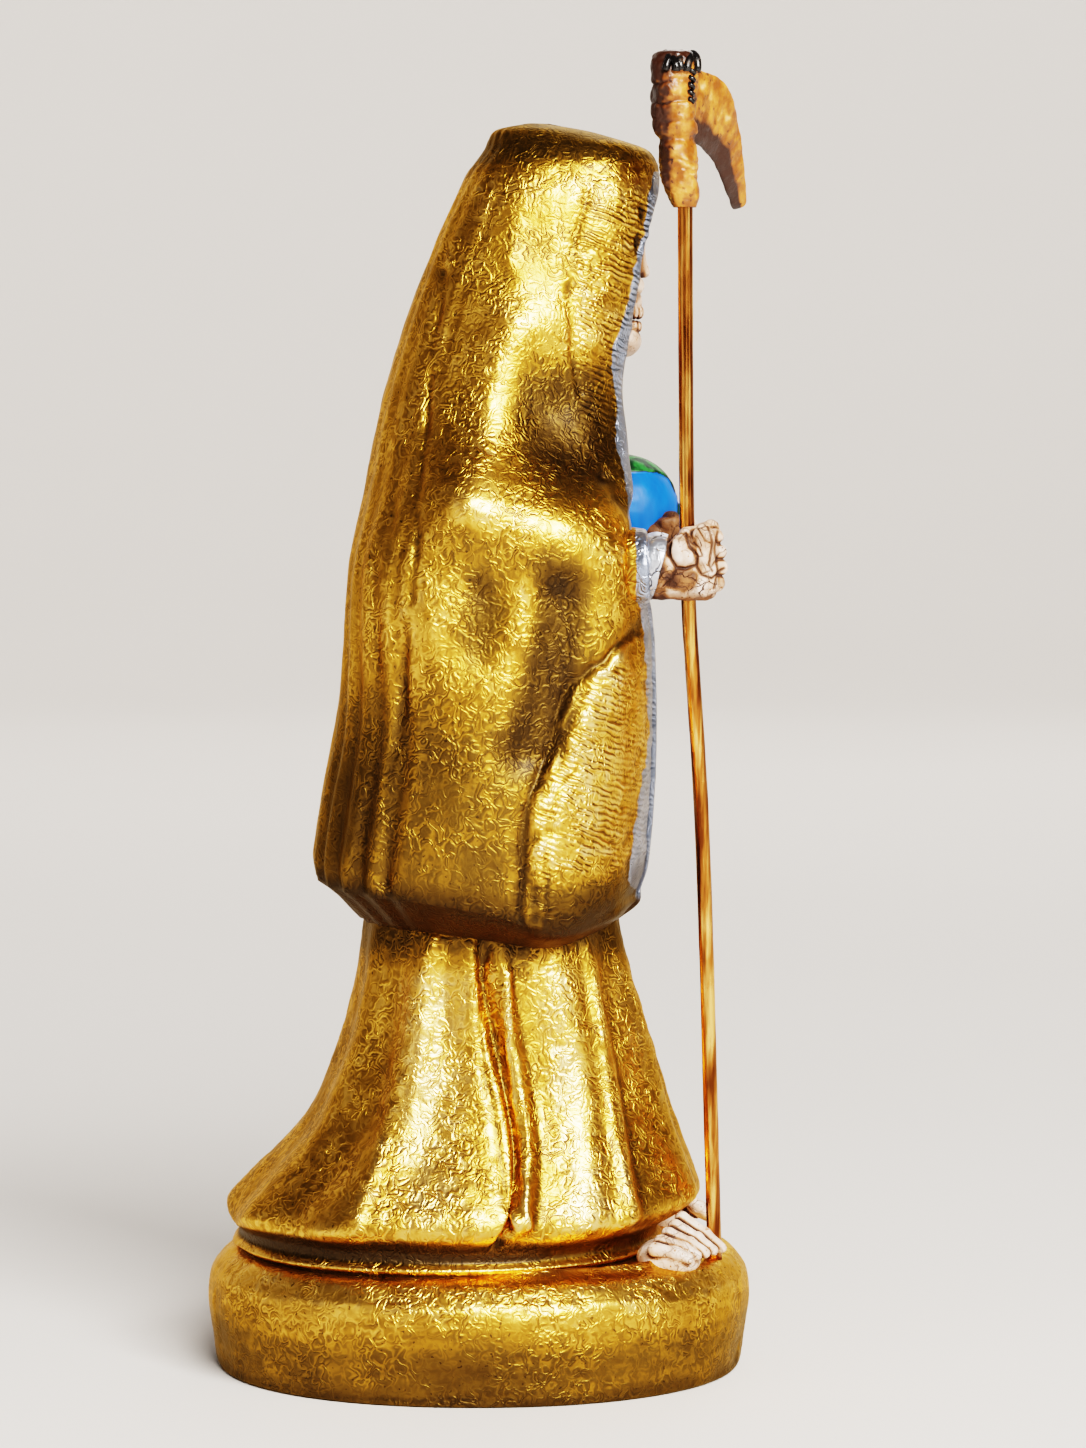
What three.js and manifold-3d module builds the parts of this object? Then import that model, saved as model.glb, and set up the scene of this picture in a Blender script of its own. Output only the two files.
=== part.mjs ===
// A cast and painted santa muerte statuette: a skeleton in a hooded cloak and a long robe on a rounded
// plinth, with a globe in its left hand and a wire scythe through its right fist.
// Millimetres, +Z up. The figure faces -Y, its right hand is on -X, and the origin is the middle of the
// plinth's underside.
import * as THREE from "three";
import { mergeVertices } from "three/addons/utils/BufferGeometryUtils.js";
import Module from "manifold-3d";

// Plinth
const plinthLength = 95.4;
const plinthWidth = 88;
const plinthHeight = 21.5;
const plinthEdge = 6.5;
const plinthFootInset = 1.6;
const plinthFootEdge = 0.9;
const plinthSquareness = 2.12;
const weltInset = 8.1;
const weltHeight = 1;

// Figure, from the plinth's top to the top of the hood. Its pose and drapery are counted in parts,
// 195.6 parts to its height.
const figureHeight = 195.6;
const part = figureHeight / 195.6;

// Scythe
const wireDiameter = 2.6;
const wireClearance = 0.3;
const wireSeatDepth = 2;
const wireFootInset = 6.5;
const headLength = 26.6;
const headDiameter = 7.9;
const headSocketDepth = 7.5;
const headTipWall = 0.4;
const bladeReach = 25;
const bladeThickness = 3.2;

// Globe
const globeDiameter = 20.8;

// The cloak's edge at its opening, and the fold of the robe's front in it
const cloakEdge = 3;
const frontFold = 0.7;

const wasm = await Module();
wasm.setup();

// Solids

function toSolid(geometry) {
  const bare = geometry.clone();
  bare.deleteAttribute("normal");
  bare.deleteAttribute("uv");
  const merged = mergeVertices(bare, 1e-4);
  return new wasm.Manifold(
    new wasm.Mesh({
      numProp: 3,
      vertProperties: new Float32Array(merged.attributes.position.array),
      triVerts: new Uint32Array(merged.index.array),
    }),
  );
}

function toMesh(solid, name, material) {
  const made = solid.getMesh();
  const geometry = new THREE.BufferGeometry();
  geometry.setAttribute("position", new THREE.BufferAttribute(made.vertProperties, 3));
  geometry.setIndex(new THREE.BufferAttribute(made.triVerts, 1));
  geometry.computeVertexNormals();
  const mesh = new THREE.Mesh(geometry, material);
  mesh.name = name;
  return mesh;
}

// A closed cylinder whose rings are moved to place(around, ring): around runs from 0 to 1 round the
// ring, and the middles of the two end caps go to middle(ring).
function loft(sides, rings, place, middle) {
  const tube = new THREE.CylinderGeometry(1, 1, 1, sides, rings);
  tube.rotateX(Math.PI / 2);
  tube.deleteAttribute("normal");
  tube.deleteAttribute("uv");
  const geometry = mergeVertices(tube, 1e-4);
  const position = geometry.attributes.position;
  for (let i = 0; i < position.count; i++) {
    const x = position.getX(i);
    const y = position.getY(i);
    const ring = Math.round((position.getZ(i) + 0.5) * rings);
    const side = Math.round((Math.atan2(x, -y) / (2 * Math.PI)) * sides + sides) % sides;
    const point = Math.hypot(x, y) < 0.5 ? middle(ring) : place(side / sides, ring);
    position.setXYZ(i, ...point);
  }
  return toSolid(geometry);
}

// A ball stretched to three half sizes and turned about the upright, in parts and degrees.
function ball(centre, half, detail = 8, turn = 0) {
  const geometry = new THREE.SphereGeometry(1, detail, Math.round(detail * 0.7));
  geometry.rotateX(Math.PI / 2);
  geometry.scale(half[0] * part, half[1] * part, half[2] * part);
  geometry.rotateZ(THREE.MathUtils.degToRad(turn));
  geometry.translate(...inFigure(centre));
  return toSolid(geometry);
}

// A round bar from one place to another, thick at its ends by two radii, in parts.
function bar(from, to, radiusFrom, radiusTo = radiusFrom, sides = 8) {
  const start = new THREE.Vector3(...inFigure(from));
  const end = new THREE.Vector3(...inFigure(to));
  const length = start.distanceTo(end);
  const geometry = new THREE.CylinderGeometry(radiusTo * part, radiusFrom * part, length, sides);
  const lean = new THREE.Quaternion().setFromUnitVectors(
    new THREE.Vector3(0, 1, 0),
    end.clone().sub(start).normalize(),
  );
  geometry.applyQuaternion(lean);
  geometry.translate(...start.add(end).multiplyScalar(0.5).toArray());
  return toSolid(geometry);
}

function inFigure([x, y, z]) {
  return [x * part, y * part, z * part + plinthHeight];
}

function unite(solids) {
  return solids.reduce((all, one) => all.add(one));
}

// Smooth values between stations. Each row is a height followed by values, and rows go up.
function between(rows, height) {
  const last = rows.length - 1;
  const z = Math.min(Math.max(height, rows[0][0]), rows[last][0]);
  let i = 0;
  while (i < last - 1 && z > rows[i + 1][0]) i++;
  const span = rows[i + 1][0] - rows[i][0];
  const t = (z - rows[i][0]) / span;
  const slope = (k, c) => {
    const below = rows[Math.max(k - 1, 0)];
    const above = rows[Math.min(k + 1, last)];
    return (above[c] - below[c]) / (above[0] - below[0]);
  };
  return rows[i].slice(1).map((start, index) => {
    const c = index + 1;
    const end = rows[i + 1][c];
    const a = slope(i, c) * span;
    const b = slope(i + 1, c) * span;
    const rise = end - start;
    return start + t * (a + t * (3 * rise - 2 * a - b + t * (a + b - 2 * rise)));
  });
}

function ease(low, high, value) {
  const t = Math.min(Math.max((value - low) / (high - low), 0), 1);
  return t * t * (3 - 2 * t);
}

function bump(value, middle, width) {
  return Math.exp(-(((value - middle) / width) ** 2));
}

// A point of a rounded outline: angle 0 is the front, and 90 degrees is +X.
function roundPoint(angle, front, back, half, squareness) {
  const s = Math.sin(angle);
  const c = Math.cos(angle);
  const x = half * Math.sign(s) * Math.abs(s) ** (2 / squareness);
  const y = (front + back) / 2 * -Math.sign(c) * Math.abs(c) ** (2 / squareness) + (back - front) / 2;
  return [x, y];
}

// The lift of carved folds at a place on a side: each fold is a path of [forward place, height].
function carved(folds, y, z) {
  let lift = 0;
  for (const fold of folds) {
    let nearest = Infinity;
    for (let i = 0; i + 1 < fold.path.length; i++) {
      const [ay, az] = fold.path[i];
      const [by, bz] = fold.path[i + 1];
      const run = (by - ay) ** 2 + (bz - az) ** 2;
      const t = Math.min(Math.max(((y - ay) * (by - ay) + (z - az) * (bz - az)) / run, 0), 1);
      nearest = Math.min(nearest, Math.hypot(y - ay - t * (by - ay), z - az - t * (bz - az)));
    }
    lift += fold.lift * bump(nearest, 0, fold.width);
  }
  return lift;
}

// Plinth: a slab with a rounded top edge and a foot that pulls in, and a low welt round the robe.
// Each row is how far the outline is pulled in, and its height.

function plinthRows() {
  const edge = plinthEdge;
  return [
    [plinthFootInset + plinthFootEdge, 0],
    [plinthFootInset, plinthFootEdge],
    [0, plinthHeight * 0.55],
    [0.06 * edge, plinthHeight - 0.8 * edge],
    [0.22 * edge, plinthHeight - 0.5 * edge],
    [0.52 * edge, plinthHeight - 0.18 * edge],
    [edge, plinthHeight],
    [weltInset, plinthHeight + weltHeight],
    [weltInset + 1.4, plinthHeight + 0.2 * weltHeight],
  ];
}

function makePlinth() {
  const rows = plinthRows();
  const place = (around, ring) => {
    const [inset, z] = rows[ring];
    const [x, y] = roundPoint(
      around * 2 * Math.PI,
      plinthLength / 2 - inset,
      plinthLength / 2 - inset,
      plinthWidth / 2 - inset,
      plinthSquareness,
    );
    return [x, y, z];
  };
  return loft(36, rows.length - 1, place, (ring) => [0, 0, rows[ring][1]]);
}

// Robe: height, front, back and half width of its outline.

const robeStations = [
  [-2, 31, 41.5, 36.6],
  [3.5, 31.8, 42.4, 37],
  [5.2, 36, 44.2, 39.4],
  [7.5, 38.6, 44.2, 39.8],
  [11.7, 37.8, 40.5, 37.8],
  [17.9, 35.8, 34.4, 34.4],
  [23.3, 33.8, 29.9, 31.8],
  [31.5, 31.4, 26.1, 29.3],
  [38.3, 29.4, 23.7, 27.8],
  [46.4, 26.9, 21.7, 26.6],
  [55, 24.9, 20.2, 25.8],
  [62, 23.8, 19.5, 25],
];
const robeSquareness = 2.15;
const robeFoldsRun = [55, 7.5];

// Each fold of the robe, from the back to the front of one side: degrees from the back at the cloak and
// at the hem, how far it stands out, how much higher the hem is there, and the columns up to it.
const robeFolds = [
  [0, 0, 0, 0.3, 0],
  [15, 15, -0.9, -0.6, 2],
  [31, 31, 0.8, 0.4, 2],
  [48, 48, -0.6, 0.9, 2],
  [64, 62.5, 2.1, 0.7, 3],
  [73, 77, 0.1, 1.5, 2],
  [83, 98, 0.3, 1.2, 2],
  [86.5, 100.3, -1.6, 2.7, 1],
  [93, 103, 0.8, 1.6, 1],
  [99.5, 107.5, -0.7, 1.2, 1],
  [117, 119, 1.3, 1, 2],
  [128, 126, 1.1, 1, 2],
  [134, 132, 1.7, 1.2, 1],
  [143, 140, -1.3, 1, 2],
  [164, 162, 0.9, 2, 2],
  [172, 171, -0.4, 1.4, 1],
  [180, 180, 0.3, 1, 1],
];
const robeSideColumns = robeFolds.reduce((sum, fold) => sum + fold[4], 0);

// The angle from the back, the lift and the hem's rise at a share of the way from the back to the front.
function robeFoldAt(columns, z) {
  let left = columns;
  let i = 1;
  while (i < robeFolds.length - 1 && left > robeFolds[i][4]) left -= robeFolds[i++][4];
  const t = left / robeFolds[i][4];
  const down = ease(...robeFoldsRun, z);
  const mix = (c) => robeFolds[i - 1][c] + (robeFolds[i][c] - robeFolds[i - 1][c]) * t;
  const angle = THREE.MathUtils.degToRad(mix(0) + (mix(1) - mix(0)) * down);
  return [angle, mix(2), mix(3)];
}

function robePoint(columns, z) {
  const onFarSide = columns > robeSideColumns;
  const fromBack = onFarSide ? 2 * robeSideColumns - columns : columns;
  const [angle, fold, rise] = robeFoldAt(fromBack, z);
  const turn = onFarSide ? Math.PI - angle : Math.PI + angle;
  const [front, back, half] = between(robeStations, z);
  const middle = (back - front) / 2;
  const [x, y] = roundPoint(turn, front, back, half, robeSquareness);
  const deep = (0.45 + 0.55 * ease(62, 40, z)) * ease(3.5, 7, z) * (onFarSide ? 0.8 : 1);
  const grow = 1 + (fold * deep) / Math.hypot(x, y - middle);
  const atHem = ease(3, 6, z) * ease(20, 8, z);
  return inFigure([x * grow, (y - middle) * grow + middle, z + rise * atHem]);
}

function makeRobe() {
  const heights = robeStations.map((row) => row[0]);
  const columns = 2 * robeSideColumns;
  const place = (around, ring) => robePoint((around * columns + robeSideColumns) % columns, heights[ring]);
  const middle = (ring) => inFigure([0, 0, heights[ring]]);
  return loft(columns, heights.length - 1, place, middle);
}

// Cloak: height, front, back and half width of its outline, its squareness, and the half width and depth
// of the opening between its two front edges.

const cloakStations = [
  [63, 28.6, 28.4, 35.6, 2.3, 10.5, 2.4],
  [67, 29.8, 28.9, 36.6, 2.3, 10.5, 2.6],
  [80, 31.1, 27.2, 37.2, 2.3, 11.5, 3],
  [92, 31.3, 24.9, 37.2, 2.4, 13, 3.4],
  [103, 30.8, 23.8, 36.9, 2.8, 15.5, 5],
  [112, 31, 23.2, 36.4, 3.3, 22, 8],
  [120, 30, 22.2, 35.6, 3.4, 28.5, 9.5],
  [127, 29, 21, 34.4, 2.9, 24, 9.5],
  [133, 28.7, 19.9, 31.6, 2.6, 17, 9],
  [140, 27.7, 18.5, 27, 2.5, 12.8, 8.5],
  [150, 26.6, 16.1, 22.8, 2.5, 11.4, 9],
  [158, 27.9, 13.7, 21.2, 2.55, 11.8, 12],
  [168, 30, 10.2, 19.8, 2.6, 12.4, 14],
  [177, 31.7, 6.7, 18.4, 2.6, 11.6, 14],
  [183, 32, 3.8, 17.4, 2.6, 8.6, 11],
  [187, 31.3, 1.8, 16, 2.5, 4, 5],
  [188.5, 31, 0.6, 15.2, 2.5, 0.6, 0.4],
  [191.1, 29.2, -1.3, 12.9, 2.4, 0.5, 0.3],
  [192.8, 24.2, -2, 10.4, 2.3, 0.4, 0.3],
  [194.4, 18.2, -3.3, 7.2, 2.2, 0.3, 0.2],
  [195.6, 12.4, -8, 2.6, 2, 0.2, 0.15],
];
const cloakHem = cloakStations[0][0];
const cloakTop = cloakStations.at(-1)[0];

// The cloak's rim under its hem: height, share of the hem's outline at the back and at the front, and
// share of the hem's drop.
const cloakRim = [
  [57, 0.74, 0.84, 0.5],
  [60.4, 0.87, 0.99, 0.8],
];

const pleatAngle = THREE.MathUtils.degToRad(13.75);
const pleatedHalf = 4.5 * pleatAngle;
const cloakFolds = [
  { path: [[-14, 144], [-15, 140], [-17, 137]], width: 8, lift: -2.1 },
  { path: [[-21, 143], [-23.5, 137]], width: 7, lift: -0.9 },
  { path: [[-6.5, 160], [-4, 152], [-2.4, 142], [0.5, 132]], width: 5.5, lift: 2.2 },
  { path: [[1, 130], [-9, 127.5], [-20, 125], [-27, 122.5]], width: 7.5, lift: 1.9 },
  { path: [[-1, 114], [0, 107]], width: 5.5, lift: -1.1 },
  { path: [[-14.8, 113], [-14.3, 105], [-12.5, 97], [-9.5, 89]], width: 5, lift: -1.9 },
  { path: [[-27.6, 108], [-17.9, 100], [-14.8, 95], [-12, 85], [-8.6, 77], [-8.3, 66]], width: 2, lift: -1.3 },
  { path: [[-25, 100], [-22, 86], [-18, 72]], width: 7, lift: 1.5 },
  { path: [[-20, 186], [-17.3, 176], [-15.9, 166], [-17.3, 153.5], [-22.4, 142]], width: 2, lift: -0.4 },
];

function cloakDrop(angle, z) {
  const fromFront = Math.abs(Math.atan2(Math.sin(angle), Math.cos(angle)));
  const low = ease(84, 62, z);
  return low * (5 * bump(fromFront, 1.12, 0.42) - 1.5 * bump(fromFront, Math.PI, 0.9));
}

function pleat(angle, z) {
  const fromBack = Math.abs(Math.PI - angle);
  const depth = 0.1 + 0.5 * ease(150, 66, z);
  const within = ease(pleatedHalf + 0.12, pleatedHalf - 0.05, fromBack);
  return within * depth * (Math.cos((2 * Math.PI * fromBack) / pleatAngle) - 0.85);
}

// A point of the cloak's outer face, which runs from edge to edge round the back.
function cloakOuter(angle, z, inset) {
  const [front, back, half, squareness] = between(cloakStations, z);
  const middle = (back - front) / 2;
  const [x, y] = roundPoint(angle, front, back, half, squareness);
  const sideways = Math.abs(Math.sin(angle)) ** 0.7;
  const lift = sideways * carved(cloakFolds, y, z) + pleat(angle, z);
  const grow = inset * (1 + lift / Math.hypot(x, y - middle));
  return [x * grow, (y - middle) * grow + middle];
}

function edgeAngle(z) {
  const [, , half, squareness, opening] = between(cloakStations, z);
  return Math.asin((opening / half) ** (squareness / 2));
}

const cloakRings = 25;
const edgeToPleats = 12;
const pleatSteps = 18;
const outerSteps = 2 * edgeToPleats + pleatSteps;
const openingSteps = 8;
const cloakSides = outerSteps + openingSteps + 2;

function cloakAngle(step, z) {
  const edge = edgeAngle(z);
  const pleats = Math.PI - pleatedHalf;
  if (step <= edgeToPleats) return edge + ((pleats - edge) * step) / edgeToPleats;
  if (step <= edgeToPleats + pleatSteps) return pleats + ((step - edgeToPleats) * pleatAngle) / 2;
  return 2 * Math.PI - cloakAngle(outerSteps - step, z);
}

// The section's points in order: the outer face, then the edge's return and the opening's hollow, where
// the robe's front shows with a fold down its middle.
function cloakPlace(step, z, inset) {
  if (step <= outerSteps) return cloakOuter(cloakAngle(step, z), z, inset);
  const [, , , , opening, depth] = between(cloakStations, z);
  const [edgeX, edgeY] = cloakOuter(edgeAngle(z), z, inset);
  const inner = edgeX - Math.min(cloakEdge / part, 0.3 * opening);
  const turn = ((step - outerSteps - 1) / openingSteps) * Math.PI;
  const bow = 0.25 * Math.sin(turn) + 0.75 * Math.sin(turn) ** 0.5;
  const fold = (frontFold / part) * ease(150, 105, z) * Math.cos(4 * turn);
  return [-inner * Math.cos(turn), edgeY + depth * (0.15 + bow) - fold];
}

function makeCloak() {
  const rims = cloakRim.length;
  const heightOf = (ring) => {
    const share = (ring - rims) / (cloakRings - rims);
    return cloakHem + (cloakTop - cloakHem) * (1 - (1 - share) ** 1.25);
  };
  const place = (around, ring) => {
    const step = Math.round(around * cloakSides);
    const z = heightOf(Math.max(ring, rims));
    const angle = step <= outerSteps ? cloakAngle(step, z) : 0;
    const [height, atBack, atFront, drop] = ring < rims ? cloakRim[ring] : [z, 1, 1, 1];
    const inset = atBack + ((atFront - atBack) * (1 + Math.cos(angle))) / 2;
    const [x, y] = cloakPlace(step, z, inset);
    return inFigure([x, y, height - drop * cloakDrop(angle, z)]);
  };
  const middle = (ring) => inFigure(ring === 0 ? [0, -4, cloakRim[0][0]] : [0, -10.4, cloakTop]);
  return loft(cloakSides, cloakRings, place, middle);
}

// Skull, set in the hood

function makeSkull() {
  const bone = unite([
    ball([0, -17.5, 174], [10, 11.6, 11.5], 11),
    ball([0, -24.4, 175.5], [8.4, 3, 2.6]),
    ball([0, -25, 164.2], [5.6, 4.3, 4.6]),
    ball([0, -24.2, 159.6], [5.8, 4.4, 4.2]),
    ball([-6.6, -25.2, 168.6], [2.6, 3.2, 2.2], 6),
    ball([6.6, -25.2, 168.6], [2.6, 3.2, 2.2], 6),
    ball([0, -28, 170.2], [1.7, 1.9, 3], 6),
  ]);
  const hollows = unite([
    ball([-4.3, -29, 171.8], [2.9, 4, 2.9]),
    ball([4.3, -29, 171.8], [2.9, 4, 2.9]),
    ball([0, -29.6, 166.6], [1.4, 2.2, 1.7], 6),
    ball([0, -28.8, 161.8], [4.6, 2.4, 0.5], 6),
  ]);
  return bone.subtract(hollows);
}

// Hands. The right fist closes round the wire, and the left hand lies under the globe.

const fingerHeights = [125, 121.7, 118.3, 115];

function makeRightHand() {
  const sleeve = bar([-24.5, -20, 118.8], [-24.5, -32.2, 119.8], 6.4, 5.7, 10);
  const palm = ball([-23.4, -35.6, 119.9], [6.6, 5.8, 6.8], 9);
  const thumb = bar([-23, -32, 123.5], [-18.5, -38.6, 125.2], 2, 1.5, 6);
  const fingers = fingerHeights.map((z, i) => {
    const curl = 0.25 * Math.abs(i - 1.5);
    return ball([-22, -39.6 + curl, z], [6.2, 3.1, 1.8], 7);
  });
  return unite([sleeve, palm, thumb, ...fingers]);
}

const globeCentre = [4.5, -25.2, 127.9];

function makeLeftHand() {
  const sleeve = bar([24, -19, 117.5], [21, -30, 117.6], 6, 5.2, 10);
  const palm = ball([15.5, -28.6, 117.2], [7.6, 5.6, 3.6], 8, 18);
  const thumb = bar([17, -24.5, 118], [14.6, -25.2, 127], 1.9, 1.4, 6);
  const fingers = [0, 1, 2, 3].map((i) => {
    const root = [14.5 - 1.2 * i, -25.8 - 2.4 * i, 116.8];
    const knuckle = [8.2 - 1.9 * i, -31 - 1.6 * i, 117.6];
    const tip = [3.6 - 2.4 * i, -36.6 - 0.5 * i + 0.6 * i * i, 126.2];
    return unite([bar(root, knuckle, 1.9, 1.7, 6), bar(knuckle, tip, 1.75, 1.3, 6)]);
  });
  return unite([sleeve, palm, thumb, ...fingers]);
}

function makeGlobe() {
  const half = globeDiameter / 2 / part;
  return ball(globeCentre, [half, half, half], 14);
}

// Feet: five bony toes each, fanned out from under the robe.

function makeFoot(side) {
  const toes = [0, 1, 2, 3, 4].map((i) => {
    const x = side * (14.5 + 2.6 * i);
    const knuckle = [x, -35.6 + 1.25 * i, 6.2 - 0.9 * i];
    const joint = [x * 1.01, -39.1 + 1.35 * i, 3 - 0.35 * i];
    const tip = [x * 1.02, -42.1 + 1.5 * i, 0.2];
    return unite([bar(knuckle, joint, 1.7, 1.55, 5), bar(joint, tip, 1.6, 1.3, 5)]);
  });
  const sole = ball([side * 19.5, -33.8, 0], [7, 7, 3.8], 6);
  return unite([sole, ...toes]);
}

// Scythe: the wire's bends above its foot, up to its top inside the head.

const wireBends = [[-19, -38.5, 76], [-22, -36.2, 111.5], [-22.3, -35.8, 126], [-23, -35.3, 187.5]];

// The wire's line from a height over the ground, going on past its top by a gap.
function wirePath(bottom, gap) {
  const foot = [-12.5 * part, -(plinthLength / 2 - wireFootInset), bottom];
  const points = [foot, ...wireBends.map(inFigure)].map((p) => new THREE.Vector3(...p));
  points.at(-1).z += gap;
  return new THREE.CatmullRomCurve3(points, false, "centripetal");
}

function rod(path, diameter, sides, steps) {
  const round = new THREE.Shape();
  for (let i = 0; i < sides; i++) {
    const angle = (i / sides) * 2 * Math.PI;
    const point = [(diameter / 2) * Math.cos(angle), (diameter / 2) * Math.sin(angle)];
    if (i === 0) round.moveTo(...point);
    else round.lineTo(...point);
  }
  round.closePath();
  return toSolid(new THREE.ExtrudeGeometry(round, { steps, extrudePath: path, bevelEnabled: false }));
}

const [headX, headY, wireTop] = inFigure(wireBends.at(-1));
const headBottom = wireTop - headSocketDepth;
const clubBack = 1.9;

// The head's club: share of its length, share of its diameter, and share of its way back from the wire.
// Its lower tip is as wide as the socket and its wall.
const clubTip = (wireDiameter + 2 * wireClearance + 2 * headTipWall) / headDiameter;
const clubStations = [
  [0, clubTip, 0],
  [0.06, 0.66, 0.15],
  [0.2, 0.82, 0.5],
  [0.39, 0.84, 0.75],
  [0.43, 0.74, 0.8],
  [0.47, 0.92, 0.85],
  [0.6, 1, 0.95],
  [0.8, 1, 1],
  [0.95, 0.98, 1],
  [1, 0.7, 1],
];

function makeClub() {
  const place = (around, ring) => {
    const [along, size, back] = clubStations[ring];
    const angle = around * 2 * Math.PI;
    const knobs = ring === 0 ? 1 : 1 + 0.05 * Math.cos(angle * 3 + ring * 1.7);
    const radius = (headDiameter / 2) * size * knobs;
    return [
      headX + radius * Math.sin(angle),
      headY - radius * Math.cos(angle) + clubBack * back,
      headBottom + headLength * along,
    ];
  };
  const middle = (ring) => {
    const [along, , back] = clubStations[ring];
    return [headX, headY + clubBack * back, headBottom + headLength * along];
  };
  return loft(12, clubStations.length - 1, place, middle);
}

// The blade: share of its reach, how far forward its back and its edge lie, and their heights as shares
// of the head's length.
const bladeStations = [
  [0, 0.5, 0.2, 0.88, 0.44],
  [0.16, 3.4, 2.2, 0.87, 0.41],
  [0.36, 7.2, 4.2, 0.8, 0.36],
  [0.56, 9.2, 6.3, 0.59, 0.26],
  [0.78, 10.5, 8.3, 0.3, 0.11],
  [0.94, 11, 9.3, 0.095, 0.028],
  [1, 10.6, 9.9, 0.057, 0.028],
];

function makeBlade() {
  const sides = 10;
  const rings = 12;
  const at = (ring) => between(bladeStations, ring / rings);
  const place = (around, ring) => {
    const share = ring / rings;
    const [backForward, edgeForward, backHeight, edgeHeight] = at(ring);
    const angle = around * 2 * Math.PI;
    const up = (1 - Math.cos(angle)) / 2;
    const forward = edgeForward + (backForward - edgeForward) * up;
    const thickness = bladeThickness * (1 - 0.45 * share) * Math.sin(angle) / 2;
    return [
      headX + bladeReach * share - thickness * 0.35,
      headY - forward + thickness,
      headBottom + headLength * (edgeHeight + (backHeight - edgeHeight) * up),
    ];
  };
  const middle = (ring) => {
    const [backForward, edgeForward, backHeight, edgeHeight] = at(ring);
    return [
      headX + (bladeReach * ring) / rings,
      headY - (backForward + edgeForward) / 2,
      headBottom + (headLength * (backHeight + edgeHeight)) / 2,
    ];
  };
  return loft(sides, rings, place, middle);
}

// The whole: the wire stands in a seat in the plinth, runs through the fist and ends in the head.

const seat = plinthHeight - wireSeatDepth;
const wire = rod(wirePath(seat + wireClearance, 0), wireDiameter, 8, 13);
const bore = rod(wirePath(seat, wireClearance), wireDiameter + 2 * wireClearance, 8, 13);

const statue = unite([
  makePlinth(),
  makeRobe(),
  makeCloak(),
  makeSkull(),
  makeRightHand(),
  makeLeftHand(),
  makeGlobe(),
  makeFoot(-1),
  makeFoot(1),
]).subtract(bore);

const head = unite([makeClub(), makeBlade()]).subtract(bore);

const goldPaint = new THREE.MeshStandardMaterial({ color: 0xc08a2a, roughness: 0.35, metalness: 0.9 });
const copperWire = new THREE.MeshStandardMaterial({ color: 0x8a4a1c, roughness: 0.35, metalness: 1 });
const bonePaint = new THREE.MeshStandardMaterial({ color: 0xb0743c, roughness: 0.5, metalness: 0 });

const figure = new THREE.Group();
figure.add(toMesh(statue, "statue", goldPaint));
figure.add(toMesh(wire, "scythe_shaft", copperWire));
figure.add(toMesh(head, "scythe_head", bonePaint));

export default figure;
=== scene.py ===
# The looks of a cast and painted santa muerte statuette: gold cloak, robe and plinth, silver hem and
# cuffs, cracked bone, a painted globe and a wire scythe. Shapes are worked out in the CAD's millimetres,
# with heights counted from the plinth's top, and turned into metres when a mesh is made.
import math

import bpy
import numpy as np
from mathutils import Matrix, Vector


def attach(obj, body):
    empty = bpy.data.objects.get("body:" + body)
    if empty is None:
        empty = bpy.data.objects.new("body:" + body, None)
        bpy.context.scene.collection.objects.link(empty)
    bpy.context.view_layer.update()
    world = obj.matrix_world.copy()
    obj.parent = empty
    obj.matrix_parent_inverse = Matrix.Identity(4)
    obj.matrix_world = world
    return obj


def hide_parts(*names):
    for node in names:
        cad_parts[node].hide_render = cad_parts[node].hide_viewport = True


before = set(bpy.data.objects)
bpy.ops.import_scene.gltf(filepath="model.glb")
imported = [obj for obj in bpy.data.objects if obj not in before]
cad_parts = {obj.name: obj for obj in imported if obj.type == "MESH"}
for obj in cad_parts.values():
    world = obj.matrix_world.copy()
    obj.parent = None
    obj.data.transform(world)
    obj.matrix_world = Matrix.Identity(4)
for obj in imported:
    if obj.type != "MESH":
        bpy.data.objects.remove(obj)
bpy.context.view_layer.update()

MM = 0.001
PLINTH_HEIGHT = 21.5


# Camera and studio

def add_camera():
    camera = bpy.data.objects.new("camera", bpy.data.cameras.new("camera"))
    bpy.context.collection.objects.link(camera)
    camera.location = (-0.8, -0.0113, 0.1628)
    camera.rotation_euler = (math.radians(86.4), 0, math.radians(-90))
    camera.data.lens = 113.6
    camera.data.clip_end = 30
    bpy.context.scene.camera = camera


def add_light(name, place, target, size, watts, color=(1, 1, 1)):
    lamp = bpy.data.lights.new(name, "AREA")
    lamp.shape = "RECTANGLE"
    lamp.size, lamp.size_y = size
    lamp.energy = watts
    lamp.color = color
    light = bpy.data.objects.new(name, lamp)
    bpy.context.collection.objects.link(light)
    light.location = place
    light.rotation_euler = (Vector(target) - Vector(place)).to_track_quat("-Z", "Y").to_euler()
    light.visible_camera = False


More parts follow.
